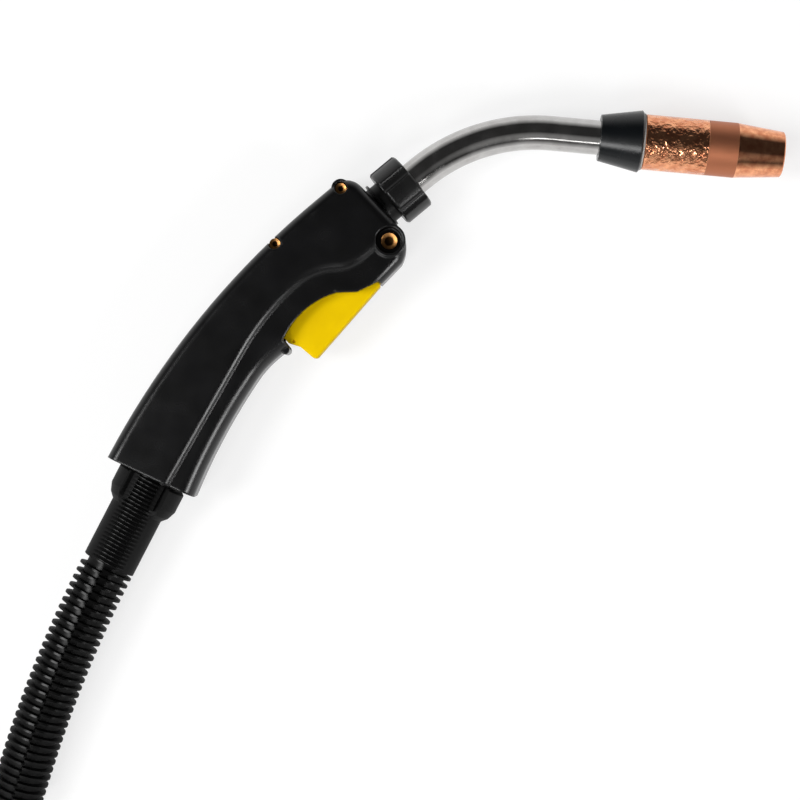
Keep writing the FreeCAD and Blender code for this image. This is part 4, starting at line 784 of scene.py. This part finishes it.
def make_sleeve(material):
    turns = [2 * math.pi * index / RELIEF_SIDES for index in range(RELIEF_SIDES)]
    rings = []
    for station in sleeve_stations():
        place, direction = sleeve_station(station * MM)
        radii = [sleeve_radius(station, math.cos(turn)) * MM for turn in turns]
        rings.append(ring_at(place, direction, radii))
    bore = [RELIEF_BORE * MM] * RELIEF_SIDES
    length = SLEEVE_END / MM - COLLAR[0][0]
    for index in range(RELIEF_SIDES // 2 + 1):
        station = SLEEVE_END / MM - length * index / (RELIEF_SIDES // 2)
        place, direction = sleeve_station(station * MM)
        rings.append(ring_at(place, direction, bore))
    sleeve = swept("sleeve", rings, "grip", "strain_relief", material)


# Cable: its control points from the sleeve's free end to the coil, and the coil's form

CABLE_RADIUS = 8 * MM
CABLE_STEPS = 8
CABLE_ROUNDNESS = 10
LEAD = [
    Vector((-157.09, -171.82, 12.9)) * MM,
    Vector((-167.7, -218.52, 9.55)) * MM,
    Vector((-173.05, -266.22, 8.0)) * MM,
    Vector((-173.05, -306.22, 8.0)) * MM,
]
COIL_MIDDLE = Vector((-65.046, -322.217, 8.0)) * MM
COIL_END = Vector((-17.046, -430.217, 24.6)) * MM
COIL_OUTER = 108 * MM
COIL_STEP = 16.6 * MM
COIL_CLIMB = 4
COIL_HALF_TURNS = 8.5
POINTS_PER_HALF_TURN = 8

# How many steps in from its outer radius the coil runs after each half turn
STEPS_IN = (0, 0, 1, 1, 2, 2, 1, 1, 0, 0)


def coil_points():
    """Control points of the coil: spiral in on the bench, climb in the tightest half turn, spiral out."""
    outside = 1 / math.cos(math.pi / (2 * POINTS_PER_HALF_TURN))
    points = []
    last = int(COIL_HALF_TURNS * POINTS_PER_HALF_TURN)
    for index in range(last):
        turns = (index + 0.5) / POINTS_PER_HALF_TURN
        half = int(turns)
        share = turns - half
        steps = STEPS_IN[half] * (1 - share) + STEPS_IN[half + 1] * share
        radius = COIL_OUTER - COIL_STEP * steps
        climb = min(max(turns - COIL_CLIMB, 0.0), 1.0)
        angle = math.pi + math.pi * turns
        rise = COIL_STEP * climb * climb * (3 - 2 * climb)
        point = Vector((math.cos(angle), math.sin(angle), 0)) * (radius * outside)
        points.append(COIL_MIDDLE + point + Vector((0, 0, rise)))
    return points


def make_cable(material):
    curve = bpy.data.curves.new("cable", "CURVE")
    curve.dimensions = "3D"
    curve.resolution_u = CABLE_STEPS
    curve.bevel_depth = CABLE_RADIUS
    curve.bevel_resolution = CABLE_ROUNDNESS
    curve.use_fill_caps = True
    spline = curve.splines.new("NURBS")
    points = LEAD + coil_points() + [COIL_END]
    spline.points.add(len(points) - 1)
    for place, point in zip(points, spline.points):
        point.co = (*place, 1.0)
    spline.order_u = 3
    spline.use_endpoint_u = True
    cable = bpy.data.objects.new("cable", curve)
    bpy.context.scene.collection.objects.link(cable)
    curve.materials.append(material)
    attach(cable, "grip")
    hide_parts("cable_lead", "cable_coil")
    on_cable = ["connector_relief", "connector_housing", "coupling_nut", "connector_face", "power_pin"]
    on_cable += ["control_pin_low", "control_pin_high", "nipple_seal"]


# Making

make_camera()
make_lights()
make_floor()

dress_handle()
dress_knob()
dress_collar()
dress_boot()
dress_trigger()
dress_inner_plastics()
dress_connector()
sleeve_black, cable_black = dress_rubbers()
dress_copper()
dress_brass()
dress_steel()
dress_screws()
shade_solids()
make_sleeve(sleeve_black)
make_cable(cable_black)
